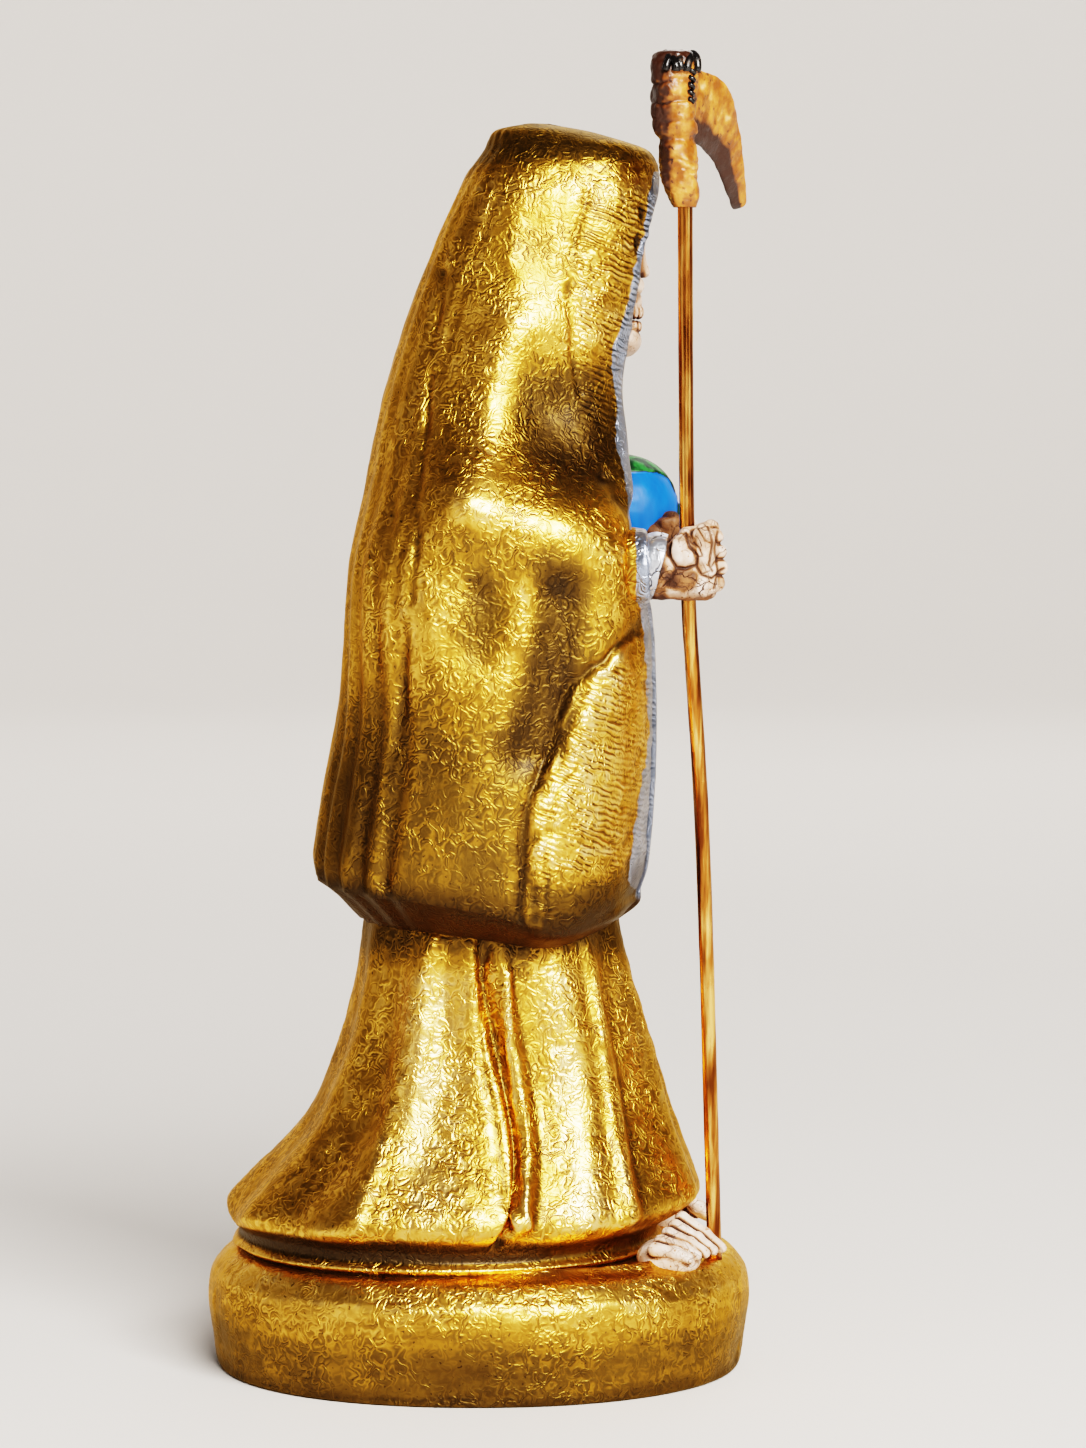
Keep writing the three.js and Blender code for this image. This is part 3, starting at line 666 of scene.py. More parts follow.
def robe_point(columns, z):
    """columns runs from the back round the +X side to the front and on to the back again."""
    far_side = columns <= ROBE_COLUMNS
    from_back = np.where(far_side, columns, 2 * ROBE_COLUMNS - columns)
    at_cloak, at_hem, fold, rise = between(ROBE_FOLDS, from_back)
    angle = np.radians(mix(at_cloak, at_hem, ease(55, 7.5, z)))
    turn = np.where(far_side, math.pi - angle, math.pi + angle)
    front, back, half = between(ROBE_STATIONS, z)
    middle = (back - front) / 2
    x, y = round_point(turn, front, back, half, ROBE_SQUARENESS)
    deep = (0.45 + 0.55 * ease(62, 40, z)) * ease(3.5, 7, z) * np.where(far_side, 0.8, 1)
    grow = 1 + fold * deep / np.hypot(x, y - middle)
    at_hem = ease(3, 6, z) * ease(20, 8, z)
    return np.stack([x * grow, (y - middle) * grow + middle, z + rise * at_hem], -1)


def make_robe(paint):
    runs = ((ROBE_BOTTOM, 3, 24), (3.5, 13, 40), (13.4, ROBE_TOP, 110))
    z = np.concatenate([np.linspace(*run) for run in runs])[:, None]
    columns = (np.arange(520) / 520 * 2 * ROBE_COLUMNS)[None, ::-1]
    grid = robe_point(*np.broadcast_arrays(columns, z))
    near_side = grid[..., 0] < 0
    uneven = 0.8 + 0.5 * noise(grid, 2.4, 14)
    relief = lumps(grid, (0.22, 9, 11), (0.12, 3.5, 12), (0.05, 1.4, 13))
    relief = relief + near_side * uneven * carved(ROBE_CREASES, grid[..., 1], grid[..., 2])
    welt = 1.5 * bump(z, 0.9, 0.85) * (1 + 0.2 * noise(grid * [1, 1, 0.3], 7, 15))
    grid = grid + grid_normals(grid) * (relief * ease(3.5, 6, z) + welt)[..., None]
    in_shade = 1.1 * ease(5.4, 4.2, z) * ease(1.5, 2.4, z) * mix(0.35, 1, ease(-17, -7, grid[..., 1]))
    grid[..., 2] += PLINTH_HEIGHT
    bottom, top = ((0, 0, PLINTH_HEIGHT + height) for height in (ROBE_BOTTOM, ROBE_TOP))
    robe = grid_mesh("statue_robe", grid, bottom=bottom, top=top)
    # Painted shade in hollows and painted highlights on ridges
    dark = 0.2 * hollowness(grid, 14, 1.0) + 0.45 * hollowness(grid, 4, 0.3)
    # Painted shadow at the top, under the cloak's hem
    dark = np.clip(dark, -1, 0.55) * ease(3, 6, z) + 0.5 * ease(48, 56, z) + in_shade
    # Painted shade at the very foot and a painted highlight along the welt
    dark = dark + 1.0 * ease(0.3, 0, z) - 0.2 * bump(z, 1.2, 0.6)
    # Painted highlights along the listed paths on the near side
    light = sum(stroke(path, width, grid[..., 1], z) for path, width in ROBE_PAINTED_HIGHLIGHTS)
    dress(robe, "statue", "gold_paint", paint, wash=dark - 0.3 * light * (grid[..., 0] < 0))


# Cloak

# Height, front, back and half width of the outline, its squareness, and the half width and the depth of
# the opening in front
CLOAK_STATIONS = [
    [63, 28.6, 28.4, 35.6, 2.3, 10.5, 2.4], [67, 29.8, 28.9, 36.6, 2.3, 10.5, 2.6],
    [80, 31.1, 27.2, 37.2, 2.3, 11.5, 3], [92, 31.3, 24.9, 37.2, 2.4, 13, 3.4],
    [103, 30.8, 23.8, 36.9, 2.8, 15.5, 5], [112, 31, 23.2, 36.4, 3.3, 22, 8],
    [120, 30, 22.2, 35.6, 3.4, 28.5, 9.5], [127, 29, 21, 34.4, 2.9, 24, 9.5],
    [133, 28.7, 19.9, 31.6, 2.6, 17, 9], [140, 27.7, 18.5, 27, 2.5, 12.8, 8.5],
    [150, 26.6, 16.1, 22.8, 2.5, 11.4, 9], [158, 27.9, 13.7, 21.2, 2.55, 11.8, 12],
    [168, 30, 10.2, 19.8, 2.6, 12.4, 14], [177, 31.7, 6.7, 18.4, 2.6, 11.6, 14],
    [183, 32, 3.8, 17.4, 2.6, 8.6, 11], [187, 31.3, 1.8, 16, 2.5, 4, 5],
    [188.5, 31, 0.6, 15.2, 2.5, 0.6, 0.4], [191.1, 29.2, -1.3, 12.9, 2.4, 0.5, 0.3],
    [192.8, 24.2, -2, 10.4, 2.3, 0.4, 0.3], [194.4, 18.2, -3.3, 7.2, 2.2, 0.3, 0.2],
    [195.6, 12.4, -8, 2.6, 2, 0.2, 0.15],
]
CLOAK_HEM, CLOAK_TOP = CLOAK_STATIONS[0][0], CLOAK_STATIONS[-1][0]

# Height, share of the hem's outline at the back and the front, and share of the hem's drop
CLOAK_RIM = [[57, 0.74, 0.84, 0.5], [60.4, 0.87, 0.99, 0.8], [CLOAK_HEM, 1, 1, 1]]
CLOAK_BOTTOM = CLOAK_RIM[0][0]

# The pleats down the back: the angle of one, and how far they reach to each side
PLEAT_ANGLE = math.radians(13.75)
PLEATED_HALF = 4.5 * PLEAT_ANGLE

# Each fold: its path of [forward place, height], width and lift. The second list is finer carving.
CLOAK_FOLDS = [
    ([[-14, 144], [-15, 140], [-17, 137]], 8, -2.1),
    ([[-21, 143], [-23.5, 137]], 7, -0.9),
    ([[-6.5, 160], [-4, 152], [-2.4, 142], [0.5, 132]], 5.5, 2.3),
    ([[1, 130], [-9, 127.5], [-20, 125], [-27, 122.5]], 7.5, 1.9),
    ([[-1, 114], [0, 107]], 5.5, -1.1),
    ([[-14.8, 113], [-14.3, 105], [-12.5, 97], [-9.5, 89]], 5, -1.9),
    ([[-27.6, 108], [-17.9, 100], [-14.8, 95], [-12, 85], [-8.6, 77], [-8.3, 66]], 2, -0.6),
    ([[-25, 100], [-22, 86], [-18, 72]], 7, 1.5),
    ([[-20, 186], [-17.3, 176], [-15.9, 166], [-17.3, 153.5], [-22.4, 142]], 2, -0.35),
]
CLOAK_CREASES = [
    ([[-18, 96.2], [-16.1, 94.2], [-14.8, 91.2], [-14.1, 86.3]], 0.6, -0.4),
    ([[-18.7, 184.9], [-18.9, 181.3], [-17.3, 176.8], [-16.2, 171.8], [-15.9, 167.7], [-16, 163.1],
      [-16.4, 159], [-16.3, 155.8], [-17.5, 151.2], [-18.8, 148.4]], 0.5, -0.24),
    ([[-7.3, 181.3], [-7, 174.9], [-6.1, 170.4]], 1.5, 0.3),
    ([[-22.6, 134], [-23.7, 132.6], [-25.4, 129.5], [-27.1, 127]], 1.2, -1.2),
    ([[6, 169.3], [8.6, 147.4], [10, 123.2], [12.9, 96], [15, 83.4], [16, 65.5]], 0.9, -0.5),
    ([[13.5, 130.6], [16.5, 109.7], [19, 89.2], [22.6, 70.7]], 0.7, -0.3),
]

# Height and forward place of the back edge of the panel at the near front corner
PANEL_EDGE = [
    [62, -8.2], [71, -8.2], [76.8, -8.6], [80.2, -9.3], [83.5, -10.7], [86.9, -12.8], [93.4, -14.5],
    [97.2, -15.9], [100.3, -17.6], [103.1, -21.7], [106.6, -25.2], [108, -27.9],
]

# A slight turn about the X axis, for strokes that run down towards the front
TILTED = np.array([[1, 0, 0], [0, 0.97, -0.24], [0, 0.24, 0.97]])

# Dents in the hood's front edge, by forward place and height
HOOD_DENTS = [(-28.2, 179.7), (-27.5, 174.4)]

# Height and the forward place where the silver hem ends
HEM_LINE = [
    [62.9, -27.7], [64.9, -26.3], [67.9, -26.3], [76.4, -27.6], [85.5, -29.1], [91.5, -29.8],
    [100.6, -29.4], [107.5, -28.8], [113, -28], [124, -26.6], [130.1, -25.9], [135.2, -25],
    [140, -23.8], [147.6, -23.9], [153.5, -23.1], [157.8, -23.8], [163.3, -25.5], [170.6, -27],
    [174.8, -28.1], [181.6, -29.2], [187, -30.4],
]


# Columns of the cloak's grid: its outer face, each lip of the opening and the hollow between them, and
# how many of them each side of the hollow are silver
OUTER_COLUMNS, LIP_COLUMNS, HOLLOW_COLUMNS = 296, 6, 44
SILVER_LIP = LIP_COLUMNS + 2


def cloak_drop(angle, z):
    from_front = np.abs(np.arctan2(np.sin(angle), np.cos(angle)))
    return ease(84, 62, z) * (5 * bump(from_front, 1.12, 0.42) - 1.5 * bump(from_front, math.pi, 0.9))


def pleat(angle, z):
    from_back = np.abs(math.pi - angle)
    depth = 0.1 + 0.5 * ease(150, 66, z)
    within = ease(PLEATED_HALF + 0.12, PLEATED_HALF - 0.05, from_back)
    return within * depth * (np.cos(2 * math.pi * from_back / PLEAT_ANGLE) - 0.85)


def panel_step(y, z, wander):
    """The panel stands out in front of its edge, with a groove behind it and chipped lumps along it."""
    edge = between(PANEL_EDGE, z)[0]
    slope = edge - between(PANEL_EDGE, z - 1)[0]
    ahead = (edge - y) / np.sqrt(1 + slope ** 2) + 0.55 * wander
    chips = 0.5 * wander * bump(ahead, 0.9, 1.0)
    step = (0.9 + chips) * ease(-0.4, 0.4, ahead) - 0.4 * bump(ahead, -0.7, 0.45)
    ribbon = bump(ahead, 1.6, 1.1) * (0.1 + 0.17 * np.cos(2.9 * z + 3 * wander))
    ribbon = ribbon - 0.35 * bump(ahead, 3.2, 0.45)
    return (step + ribbon * ease(89, 84, z)) * ease(110, 106.5, z) * ease(60, 64, z)


def hood_dents(y, z, width):
    return sum(bump(np.hypot(2 * (y - at_y), 0.8 * (z - at_z)), 0, width) for at_y, at_z in HOOD_DENTS)


def cloak_outer(angle, z, inset):
    front, back, half, squareness = between(CLOAK_STATIONS, z)[:4]
    middle = (back - front) / 2
    x, y = round_point(angle, front, back, half, squareness)
    lift = np.abs(np.sin(angle)) ** 0.7 * carved(CLOAK_FOLDS, y, z) + pleat(angle, z)
    near_side = ease(0.2, 0.6, -np.sin(angle))
    wander = noise(np.stack([y, z + 0 * y, 0 * y], -1), 2.6, 25)
    creases = carved(CLOAK_CREASES, y, z) * (0.9 + 0.8 * wander)
    dents = ease(0, -0.3, np.sin(angle)) * -0.6 * hood_dents(y, z, 1.0)
    lift = lift + near_side * (creases + panel_step(y, z, wander)) + dents
    grow = inset * (1 + lift / np.hypot(x, y - middle))
    return x * grow, (y - middle) * grow + middle


def cloak_grid():
    rim = np.linspace(CLOAK_BOTTOM, 62.6, 10)
    share = np.linspace(0, 1, 228)
    z_rows = np.concatenate([rim, CLOAK_HEM + (CLOAK_TOP - CLOAK_HEM) * (1 - (1 - share) ** 1.12)])
    rise, at_back, at_front, drop = between([[r[0]] + r for r in CLOAK_RIM], np.minimum(z_rows, CLOAK_HEM))
    z = np.maximum(z_rows, CLOAK_HEM)[:, None]
    opening, depth = between(CLOAK_STATIONS, z)[4:]
    half, squareness = between(CLOAK_STATIONS, z)[2:4]
    edge = np.arcsin((opening / half) ** (squareness / 2))
    outer = edge + (2 * math.pi - 2 * edge) * np.linspace(0, 1, OUTER_COLUMNS)
    inset = at_back[:, None] + (at_front - at_back)[:, None] * (1 + np.cos(outer)) / 2
    x, y = cloak_outer(outer, z, inset)
    near_x, near_y = x[:, -1:], y[:, -1:]
    inner = -near_x - np.minimum(3, 0.3 * opening)

    lip = np.linspace(0, 1, LIP_COLUMNS + 2)[1:-1]
    lip_out = np.minimum(0.5, 0.1 * opening) * np.sin(math.pi * lip)
    near_lip = (mix(near_x, -inner, lip), near_y + 0.15 * depth * lip ** 2 - lip_out)
    turn = np.linspace(0, math.pi, HOLLOW_COLUMNS)
    bow = 0.25 * np.sin(turn) + 0.75 * np.sin(turn) ** 0.5
    fold = 0.7 * ease(150, 105, z) * np.cos(4 * turn)
    hollow = (-inner * np.cos(turn), near_y + depth * (0.15 + bow) - fold)
    far_lip = (-near_lip[0][:, ::-1], near_lip[1][:, ::-1])
    all_x = np.concatenate([x, near_lip[0], hollow[0], far_lip[0]], axis=1)
    all_y = np.concatenate([y, near_lip[1], hollow[1], far_lip[1]], axis=1)
    angles = np.concatenate([outer, np.zeros((len(z), all_x.shape[1] - OUTER_COLUMNS))], axis=1)
    heights = np.where(z_rows[:, None] < CLOAK_HEM, rise[:, None], z)
    all_z = heights - drop[:, None] * cloak_drop(angles, z)
    is_outer = np.arange(all_x.shape[1]) < OUTER_COLUMNS
    return np.stack([all_x, all_y, all_z], -1), z, is_outer, z_rows[:, None]


def make_cloak(paint):
    grid, z, is_outer, z_rows = cloak_grid()
    x, y, height = np.moveaxis(grid, -1, 0)
    hem_place = between(HEM_LINE, height)[0]
    column, count = np.arange(len(is_outer)), is_outer.sum()
    in_lip = (column >= count) & (column < count + SILVER_LIP) | (column >= len(column) - SILVER_LIP)
    hem = np.where(is_outer, hem_place - y, np.where(in_lip & (height < 172), 2.0, -2.0))
    hem = np.where(height > 187, -2, hem)

    side = is_outer * np.clip(abs(x) / 12, 0, 1)
    strip = ease(-16, -19, y) * ease(185, 178, z) * ease(140, 148, z)
    ahead = between(PANEL_EDGE, height)[0] - y
    panel = ease(0.5, 3, ahead) * ease(106, 101, z) * ease(67, 73, z)
    warped = grid + 1.1 * noise(grid, 3.1, 27)[..., None] * [0, 1, 0.6]
    hammered = noise(warped @ TILTED * [1, 0.3, 1.2], 1.9, 21) + 0.5 * noise(warped * [1, 0.4, 1.5], 2.8, 26)
    uneven = lumps(grid, (0.2, 11, 22), (0.09, 4, 23), (0.03, 1.6, 24))
    strokes = 0.2 * hammered * (strip + panel) * side * (x < 0)
    raised = (0.25 * ease(-0.3, 0.3, hem) - 0.6 * ease(-24, -27, y) * ease(130, 118, z)) * is_outer
    grid = grid + grid_normals(grid) * (uneven * (0.4 + 0.6 * is_outer) + strokes + raised)[..., None]
    grid[..., 2] += PLINTH_HEIGHT
    bottom, top = (0, -4, PLINTH_HEIGHT + CLOAK_BOTTOM), (0, -10.4, PLINTH_HEIGHT + CLOAK_TOP)
    cloak = grid_mesh("statue_cloak", grid, bottom=bottom, top=top)
    # Painted shade inside the hood and its lips, on faces that turn down, and in hollows under the shoulder
    inside_hood = ~is_outer & ~in_lip & (z > 150)
    facing_down = -grid_normals(blurred(grid, 4))[..., 2]
    hollows = [fold for fold in CLOAK_FOLDS[:6] if fold[2] < 0]
    shade = sum(-lift * stroke(path, 0.9 * width, y, height) for path, width, lift in hollows)
    shade = 0.22 * shade + 0.42 * bump(np.hypot((y + 14) / 7, (height - 146) / 9), 0, 1)
    shade = shade + 0.38 * stroke([[-12.8, 119], [-12.2, 107], [-11, 92]], 4.5, y, height)
    # Painted shade in hollows and painted highlights on ridges, darker lower down and towards the back
    dark = 0.22 * hollowness(grid, 14, 1.0) + 0.35 * hollowness(grid, 4, 0.35)
    dark = dark * (1 - 0.5 * ease(8, 14, y)) + np.minimum(shade, 0.6) * side
    dark = dark + 0.3 * ease(112, 80, z) * (1 - panel) * side + 0.1 * ease(12, 20, y) * ease(110, 80, z)
    # Painted highlights on the hood's side and on the corner panel; the hood's top is darker
    light = (0.25 * bump(np.hypot(y + 20, height - 160), 0, 8) + 0.15 * panel) * side
    dark = np.clip(dark - light + 0.45 * ease(184, 191, z), -1, 0.6)
    dark = dark + 0.9 * hood_dents(y, height, 0.9) * (x < 0)
    dark = dark + 0.8 * ease(0.0, 0.6, facing_down) + 0.7 * inside_hood + 0.8 * in_lip * ease(168, 173, z)
    # Painted shade on the silver hem lower down
    dark = dark + 0.3 * ease(106, 98, height) * ease(0, 0.5, hem)
    # under marks the rim's underside, painted dark brown for a brown wash and the shade under it
    hatch, under = (strip + panel) * side * (x < 0), ease(62.4, 60.5, z_rows) * np.ones_like(x)
    dress(cloak, "statue", "gold_paint", paint, wash=dark, hatch=hatch, hem=hem, under=under)


# Skull

def skull_form(p):
    mirrored = p.copy()
    mirrored[..., 0] = np.abs(p[..., 0])
    skull = ball(p, (0, -17.5, 174), (10, 11.4, 11.3))
    skull = join(skull, ball(p, (0, -24.6, 164.8), (5.2, 4.0, 4.2)), 2.0)
    brow = bar(mirrored, (1.4, -27.0, 174.4), (6.6, -25.2, 174.9), 1.5, 1.3)
    cheek = bar(mirrored, (3.6, -27.2, 167.6), (7.0, -25.4, 169.3), 1.7, 1.6)
    arch = bar(mirrored, (7.2, -25.2, 169.4), (9.3, -17.5, 170.2), 1.5, 1.1)
    outer_rim = bar(mirrored, (7.2, -25.4, 169.6), (7.3, -25.0, 174.4), 1.2, 1.2)
    nose = bar(p, (0, -27.3, 174), (0, -28.9, 169.9), 1.1, 1.0)
    for bone in (brow, cheek, arch, outer_rim, nose):
        skull = join(skull, bone, 1.1)
    jaw = join(
        ball(p, (0, -25.0, 157.9), (4.6, 3.5, 2.8)),
        join(
            bar(mirrored, (3.2, -25.6, 158.4), (7.4, -18.5, 160.4), 2.1, 1.6),
            bar(mirrored, (7.4, -18.5, 160.4), (8.4, -15.5, 168), 1.6, 1.3),
            1.0,
        ),
        1.2,
    )
    skull = join(skull, jaw, 0.5)
    # Eye sockets, nostrils, temples, hollows under the cheeks, and the mouth
    for centre, half, blend in (
        ((4.1, -28.3, 171.9), (2.55, 4.2, 2.45), 0.7),
        ((0.65, -29.5, 166.9), (0.95, 2.6, 1.75), 0.5),
        ((10.6, -19.5, 172.5), (2.4, 4.2, 4.0), 1.5),
        ((6.8, -23.5, 164.4), (2.0, 3.0, 2.6), 1.2),
        ((0, -26.4, 161.65), (5.6, 3.6, 0.32), 0.3),
    ):
        skull = cut(skull, ball(mirrored, centre, half), blend)
    for row, (height, length) in enumerate(((162.9, 1.15), (160.5, 1.0))):
        for i in range(5):
            turn = math.radians(9 + 17.5 * i)
            place = (4.5 * math.sin(turn), -24.3 - (4.0 - 0.3 * row) * math.cos(turn), height)
            skull = join(skull, ball(mirrored, place, (0.72, 0.72, length)), 0.15)
    return skull


def make_skull(paint):
    low, high = (-10.5, -31, 154.5), (10.5, -5.5, 186)
    layers = [(0.12, 2.6, 31), (0.05, 1.1, 32)]
    skull, points, normals = skin("statue_skull", skull_form, low, high, 0.27, layers)
    # Painted shade where the skull closes in: sockets, nose, mouth and teeth
    wash = 1.4 * form_wash(skull_form, points, normals, 1.3) + 0.05
    dress(skull, "statue", "bone_paint", paint, wash=wash, crack=0)


def form_wash(form, points, normals, reach):
    """1 where the form closes in round a place, and 0 where it is open, for painted shade."""
    place = points + normals * reach
    place[:, 2] -= PLINTH_HEIGHT
    return np.clip(1 - form(place) / reach, -0.5, 1)


# Hands. The fist's cracks are paths of [forward place, height] on its near side.

FIST_CRACKS = [
    ([[-35.4, 124.9], [-36.1, 122.8], [-37.4, 121.1], [-37.2, 119.6], [-35.4, 119.0], [-33.8, 119.2],
      [-32.5, 121.4], [-32.9, 123.4]], 0.20, 1.0),
    ([[-38.8, 127.2], [-40.0, 123.4], [-39.3, 119.6], [-39.9, 118.6]], 0.16, 0.8),
    ([[-37.2, 119.4], [-38.1, 118], [-39.8, 117.4], [-41, 118.3], [-42, 119]], 0.16, 0.9),
    ([[-35.0, 124.7], [-37.6, 122.6], [-38.2, 121.2], [-37.5, 121]], 0.10, 0.7),
    ([[-38.2, 118.2], [-39.4, 118.6], [-41.2, 121.6]], 0.10, 0.6),
    ([[-37.4, 125.8], [-38.6, 123.8], [-39.9, 123.3]], 0.10, 0.6),
    ([[-33.8, 119.1], [-33.0, 117.2], [-31.6, 116.0]], 0.12, 0.7),
    ([[-40.9, 125.5], [-40.4, 122.4], [-40.9, 118.4], [-40.2, 115.6]], 0.14, 0.8),
]


def fist_form(p):
    hand = block(p, (-22.8, -36.6, 119.5), (4.4, 3.8, 5.2), 2.2)
    hand = join(hand, bar(p, (-24.2, -31.4, 118.8), (-23.4, -36, 118.4), 4.5, 4.6), 1.0)
    hand = join(hand, bar(p, (-24.8, -30.6, 115.4), (-23.6, -38.8, 115.6), 1.7, 2.0), 0.9)
    hand = join(hand, ball(p, (-26.7, -34.9, 121.7), (2.3, 2.4, 3.0)), 0.35)
    hand = join(hand, ball(p, (-26.6, -38.5, 122.4), (1.9, 2.3, 4.2)), 0.35)
    hand = join(hand, ball(p, (-26.3, -38.4, 117.0), (2.0, 2.6, 2.8)), 0.4)
    for z, out, round_end in ((124.3, 0.6, 1.4), (121.8, 0, 1.35), (119.2, -0.1, 1.4), (116.5, 0.3, 1.45)):
        back = bar(p, (-26.4, -38.8 + out, z), (-24.6, -41.1 + out, z), 1.5, round_end)
        front = bar(p, (-24.6, -41.1 + out, z), (-19.8, -41.0 + out, z), round_end, 1.35)
        tip = bar(p, (-19.8, -41.0 + out, z), (-17.8, -37.6 + out, z), 1.35, 1.2)
        hand = join(hand, join(join(back, front, 0.2), tip, 0.2), 0.2)
    thumb = join(
        bar(p, (-24.4, -35.8, 124.6), (-21.4, -40.0, 125.9), 1.5, 1.4),
        bar(p, (-21.4, -40.0, 125.9), (-18.8, -40.2, 124.9), 1.35, 1.1),
        0.2,
    )
    hand = join(hand, thumb, 0.3)
    return cut(hand, ball(p, (-22.3, -35.8, 126.6), (2.0, 2.0, 1.6)), 0.2)


def fist_cracks(points):
    near_side = ease(-24.5, -26, points[:, 0])
    y, z = points[:, 1], points[:, 2]
    lines = [depth * stroke(path, 1.25 * width, y, z) for path, width, depth in FIST_CRACKS]
    return near_side * np.max(lines, axis=0)


def make_right_hand(paint):
    low, high = (-30, -43.5, 112), (-14.5, -29, 129)
    layers, carving = [(0.2, 2.2, 41), (0.1, 0.9, 42)], lambda p: -0.35 * fist_cracks(p)
    fist, points, normals = skin("statue_right_hand", fist_form, low, high, 0.2, layers, carving)
    in_figure = points - [0, 0, PLINTH_HEIGHT]
    # A brown patch on the near side; painted shade towards the wrist and on the fist's underside
    brown = np.linalg.norm((in_figure[:, 1:] - [-34.8, 117.2]) / [2.9, 2.2], axis=1)
    wrist = ease(-33.2, -31.4, in_figure[:, 1])
    stain_and_shade = 0.12 + 0.5 * ease(1.2, 0.7, brown) + 0.45 * wrist + 0.5 * ease(115.4, 113.2, in_figure[:, 2])
    wash = form_wash(fist_form, points, normals, 0.8) + stain_and_shade
    dress(fist, "statue", "bone_paint", paint, wash=wash, crack=fist_cracks(in_figure))


def cuff_end(z):
    """How far forward the right cuff reaches, more at its top than underneath."""
    return -29.9 - 0.26 * (z - 114)


def sleeve_form(p):
    right = bar(p, (-23.9, -25, 118.8), (-24.4, -31, 119.4), 5.2, 5.7)
    right = np.maximum(right, cuff_end(p[..., 2]) - p[..., 1])
    left = bar(p, (24, -19, 117.5), (21.4, -28.2, 117.6), 6, 5.2)
    left = np.maximum(left, -30 - p[..., 1])
    return join(right, left)


def make_sleeves(paint):
    for name, low, high in (
        ("statue_right_cuff", (-32, -33.5, 111), (-17, -19, 127)),
        ("statue_left_cuff", (14, -32, 110), (31, -18, 125)),
    ):
        layers = [(0.25, 3.4, 51), (0.12, 1.5, 52)]
        cuff, points, normals = skin(name, sleeve_form, low, high, 0.25, layers)
        x, y, z = points.T
        z = z - PLINTH_HEIGHT
        low_front = ease(122, 118, z) * ease(-28.5, -30, y)
        # Painted shade at the cuff's end by the hand and where the fist closes in round the cuff
        at_hand = 0.6 * ease(0.9, 0.2, y - cuff_end(z))
        wash = (form_wash(fist_form, points, normals, 1.0) + at_hand) * (x < 0)
        dress(cuff, "statue", "silver_paint", paint, wash=wash, crack=0.9 * low_front)


# The cloak laid over the right sleeve, with the silver hem round its end

def sleeve_fold_form(p):
    draped = bar(p, (-19.5, -14, 118.8), (-24.3, -29.4, 119.3), 8.5, 6.4)
    return cut(draped, p[..., 1] + 29.2 + 0.03 * (119 - p[..., 2]), 0.8)


def make_sleeve_fold(paint):
    low, high = (-33, -31, 109), (-12, -14, 129)
    layers = [(0.25, 3.4, 55), (0.1, 1.5, 56)]
    fold, points, _ = skin("statue_sleeve_fold", sleeve_fold_form, low, high, 0.3, layers)
    hem = 1.5 * (-27 - points[:, 1])
    dress(fold, "statue", "gold_paint", paint, wash=0, hatch=0, hem=hem, under=0)


def left_hand_form(p):
    local = p - np.array((15.5, -28.6, 117.2))
    turn = math.radians(18)
    s, c = math.sin(turn), math.cos(turn)
    x, y, z = np.moveaxis(local, -1, 0)
    turned = np.stack([x * c + y * s, -x * s + y * c, z], -1)
    hand = ball(turned, (0, 0, 0), (7.4, 5.4, 3.4))
    thumb_joint = (16.1, -25, 123)
    thumb = bar(p, (17, -24.5, 118), thumb_joint, 1.9, 1.6)
    thumb = join(thumb, bar(p, thumb_joint, (14.6, -25.2, 127.3), 1.5, 1.2), 0.3)
    hand = join(hand, thumb, 0.8)
    for i in range(4):
        root = (14.5 - 1.2 * i, -25.8 - 2.4 * i, 116.8)
        knuckle = (8.2 - 1.9 * i, -31 - 1.6 * i, 117.6)
        tip = (3.6 - 2.4 * i, -36.6 - 0.5 * i + 0.6 * i * i, 126.2)
        middle = tuple(mix(np.array(knuckle), np.array(tip), 0.5) + np.array((-0.6, -1.0, -0.6)))
        finger = join(bar(p, root, knuckle, 1.6, 1.5), bar(p, knuckle, middle, 1.7, 1.4), 0.25)
        finger = join(finger, bar(p, middle, tip, 1.65, 1.45), 0.2)
        hand = join(hand, finger, 0.4)
    hand = join(hand, ball(p, (-2.2, -31.2, 124.4), (2.6, 3.0, 2.6)), 0.3)
    return join(hand, ball(p, (-2.4, -33.8, 126.2), (2.4, 2.1, 2.3)), 0.3)


def make_left_hand(paint):
    low, high = (-7, -41, 111.5), (25, -20, 129.5)
    layers = [(0.22, 2.0, 61), (0.14, 0.9, 62)]
    hand, points, normals = skin("statue_left_hand", left_hand_form, low, high, 0.25, layers)
    # Painted shade where the hand closes in, and on the fingers reaching towards the fist
    wash = form_wash(left_hand_form, points, normals, 1.0) + 0.55 * ease(3, -1, points[:, 0])
    dress(hand, "statue", "bone_paint", paint, wash=wash, crack=0)


# Globe

GLOBE_CENTRE, GLOBE_RADIUS = (4.5, -25.2, 127.9), 10.4


def make_globe(paint):
    up = np.linspace(-math.pi / 2 + 0.03, math.pi / 2 - 0.03, 110)[:, None]
    around = full_turn(200)[None]
    level = np.cos(up)
    ray = np.stack([level * np.sin(around), -level * np.cos(around), np.sin(up) * np.ones_like(around)], -1)
    land = lumps(ray, (1, 0.62, 71), (0.5, 0.3, 72), (0.25, 0.13, 73))
    open_sea = ease(0.1, 0.6, -ray[..., 0]) * ease(0.9, 0.5, ray[..., 2])
    land = land + 3 * ease(0.66, 0.95, ray[..., 2] - 0.08 * ray[..., 1]) - 0.45 - 1.6 * open_sea
    radius = GLOBE_RADIUS - 0.35 + 0.3 * ease(-0.1, 0.1, land) + 0.05 * noise(ray, 0.12, 74)
    centre = np.array(GLOBE_CENTRE) + [0, 0, PLINTH_HEIGHT]
    grid = centre + ray * radius[..., None]
    poles = [tuple(centre + [0, 0, side * (GLOBE_RADIUS - 0.2)]) for side in (-1, 1)]
    globe = grid_mesh("statue_globe", grid, bottom=poles[0], top=poles[1])
    dress(globe, "statue", "globe_paint", paint, land=land)


# Feet

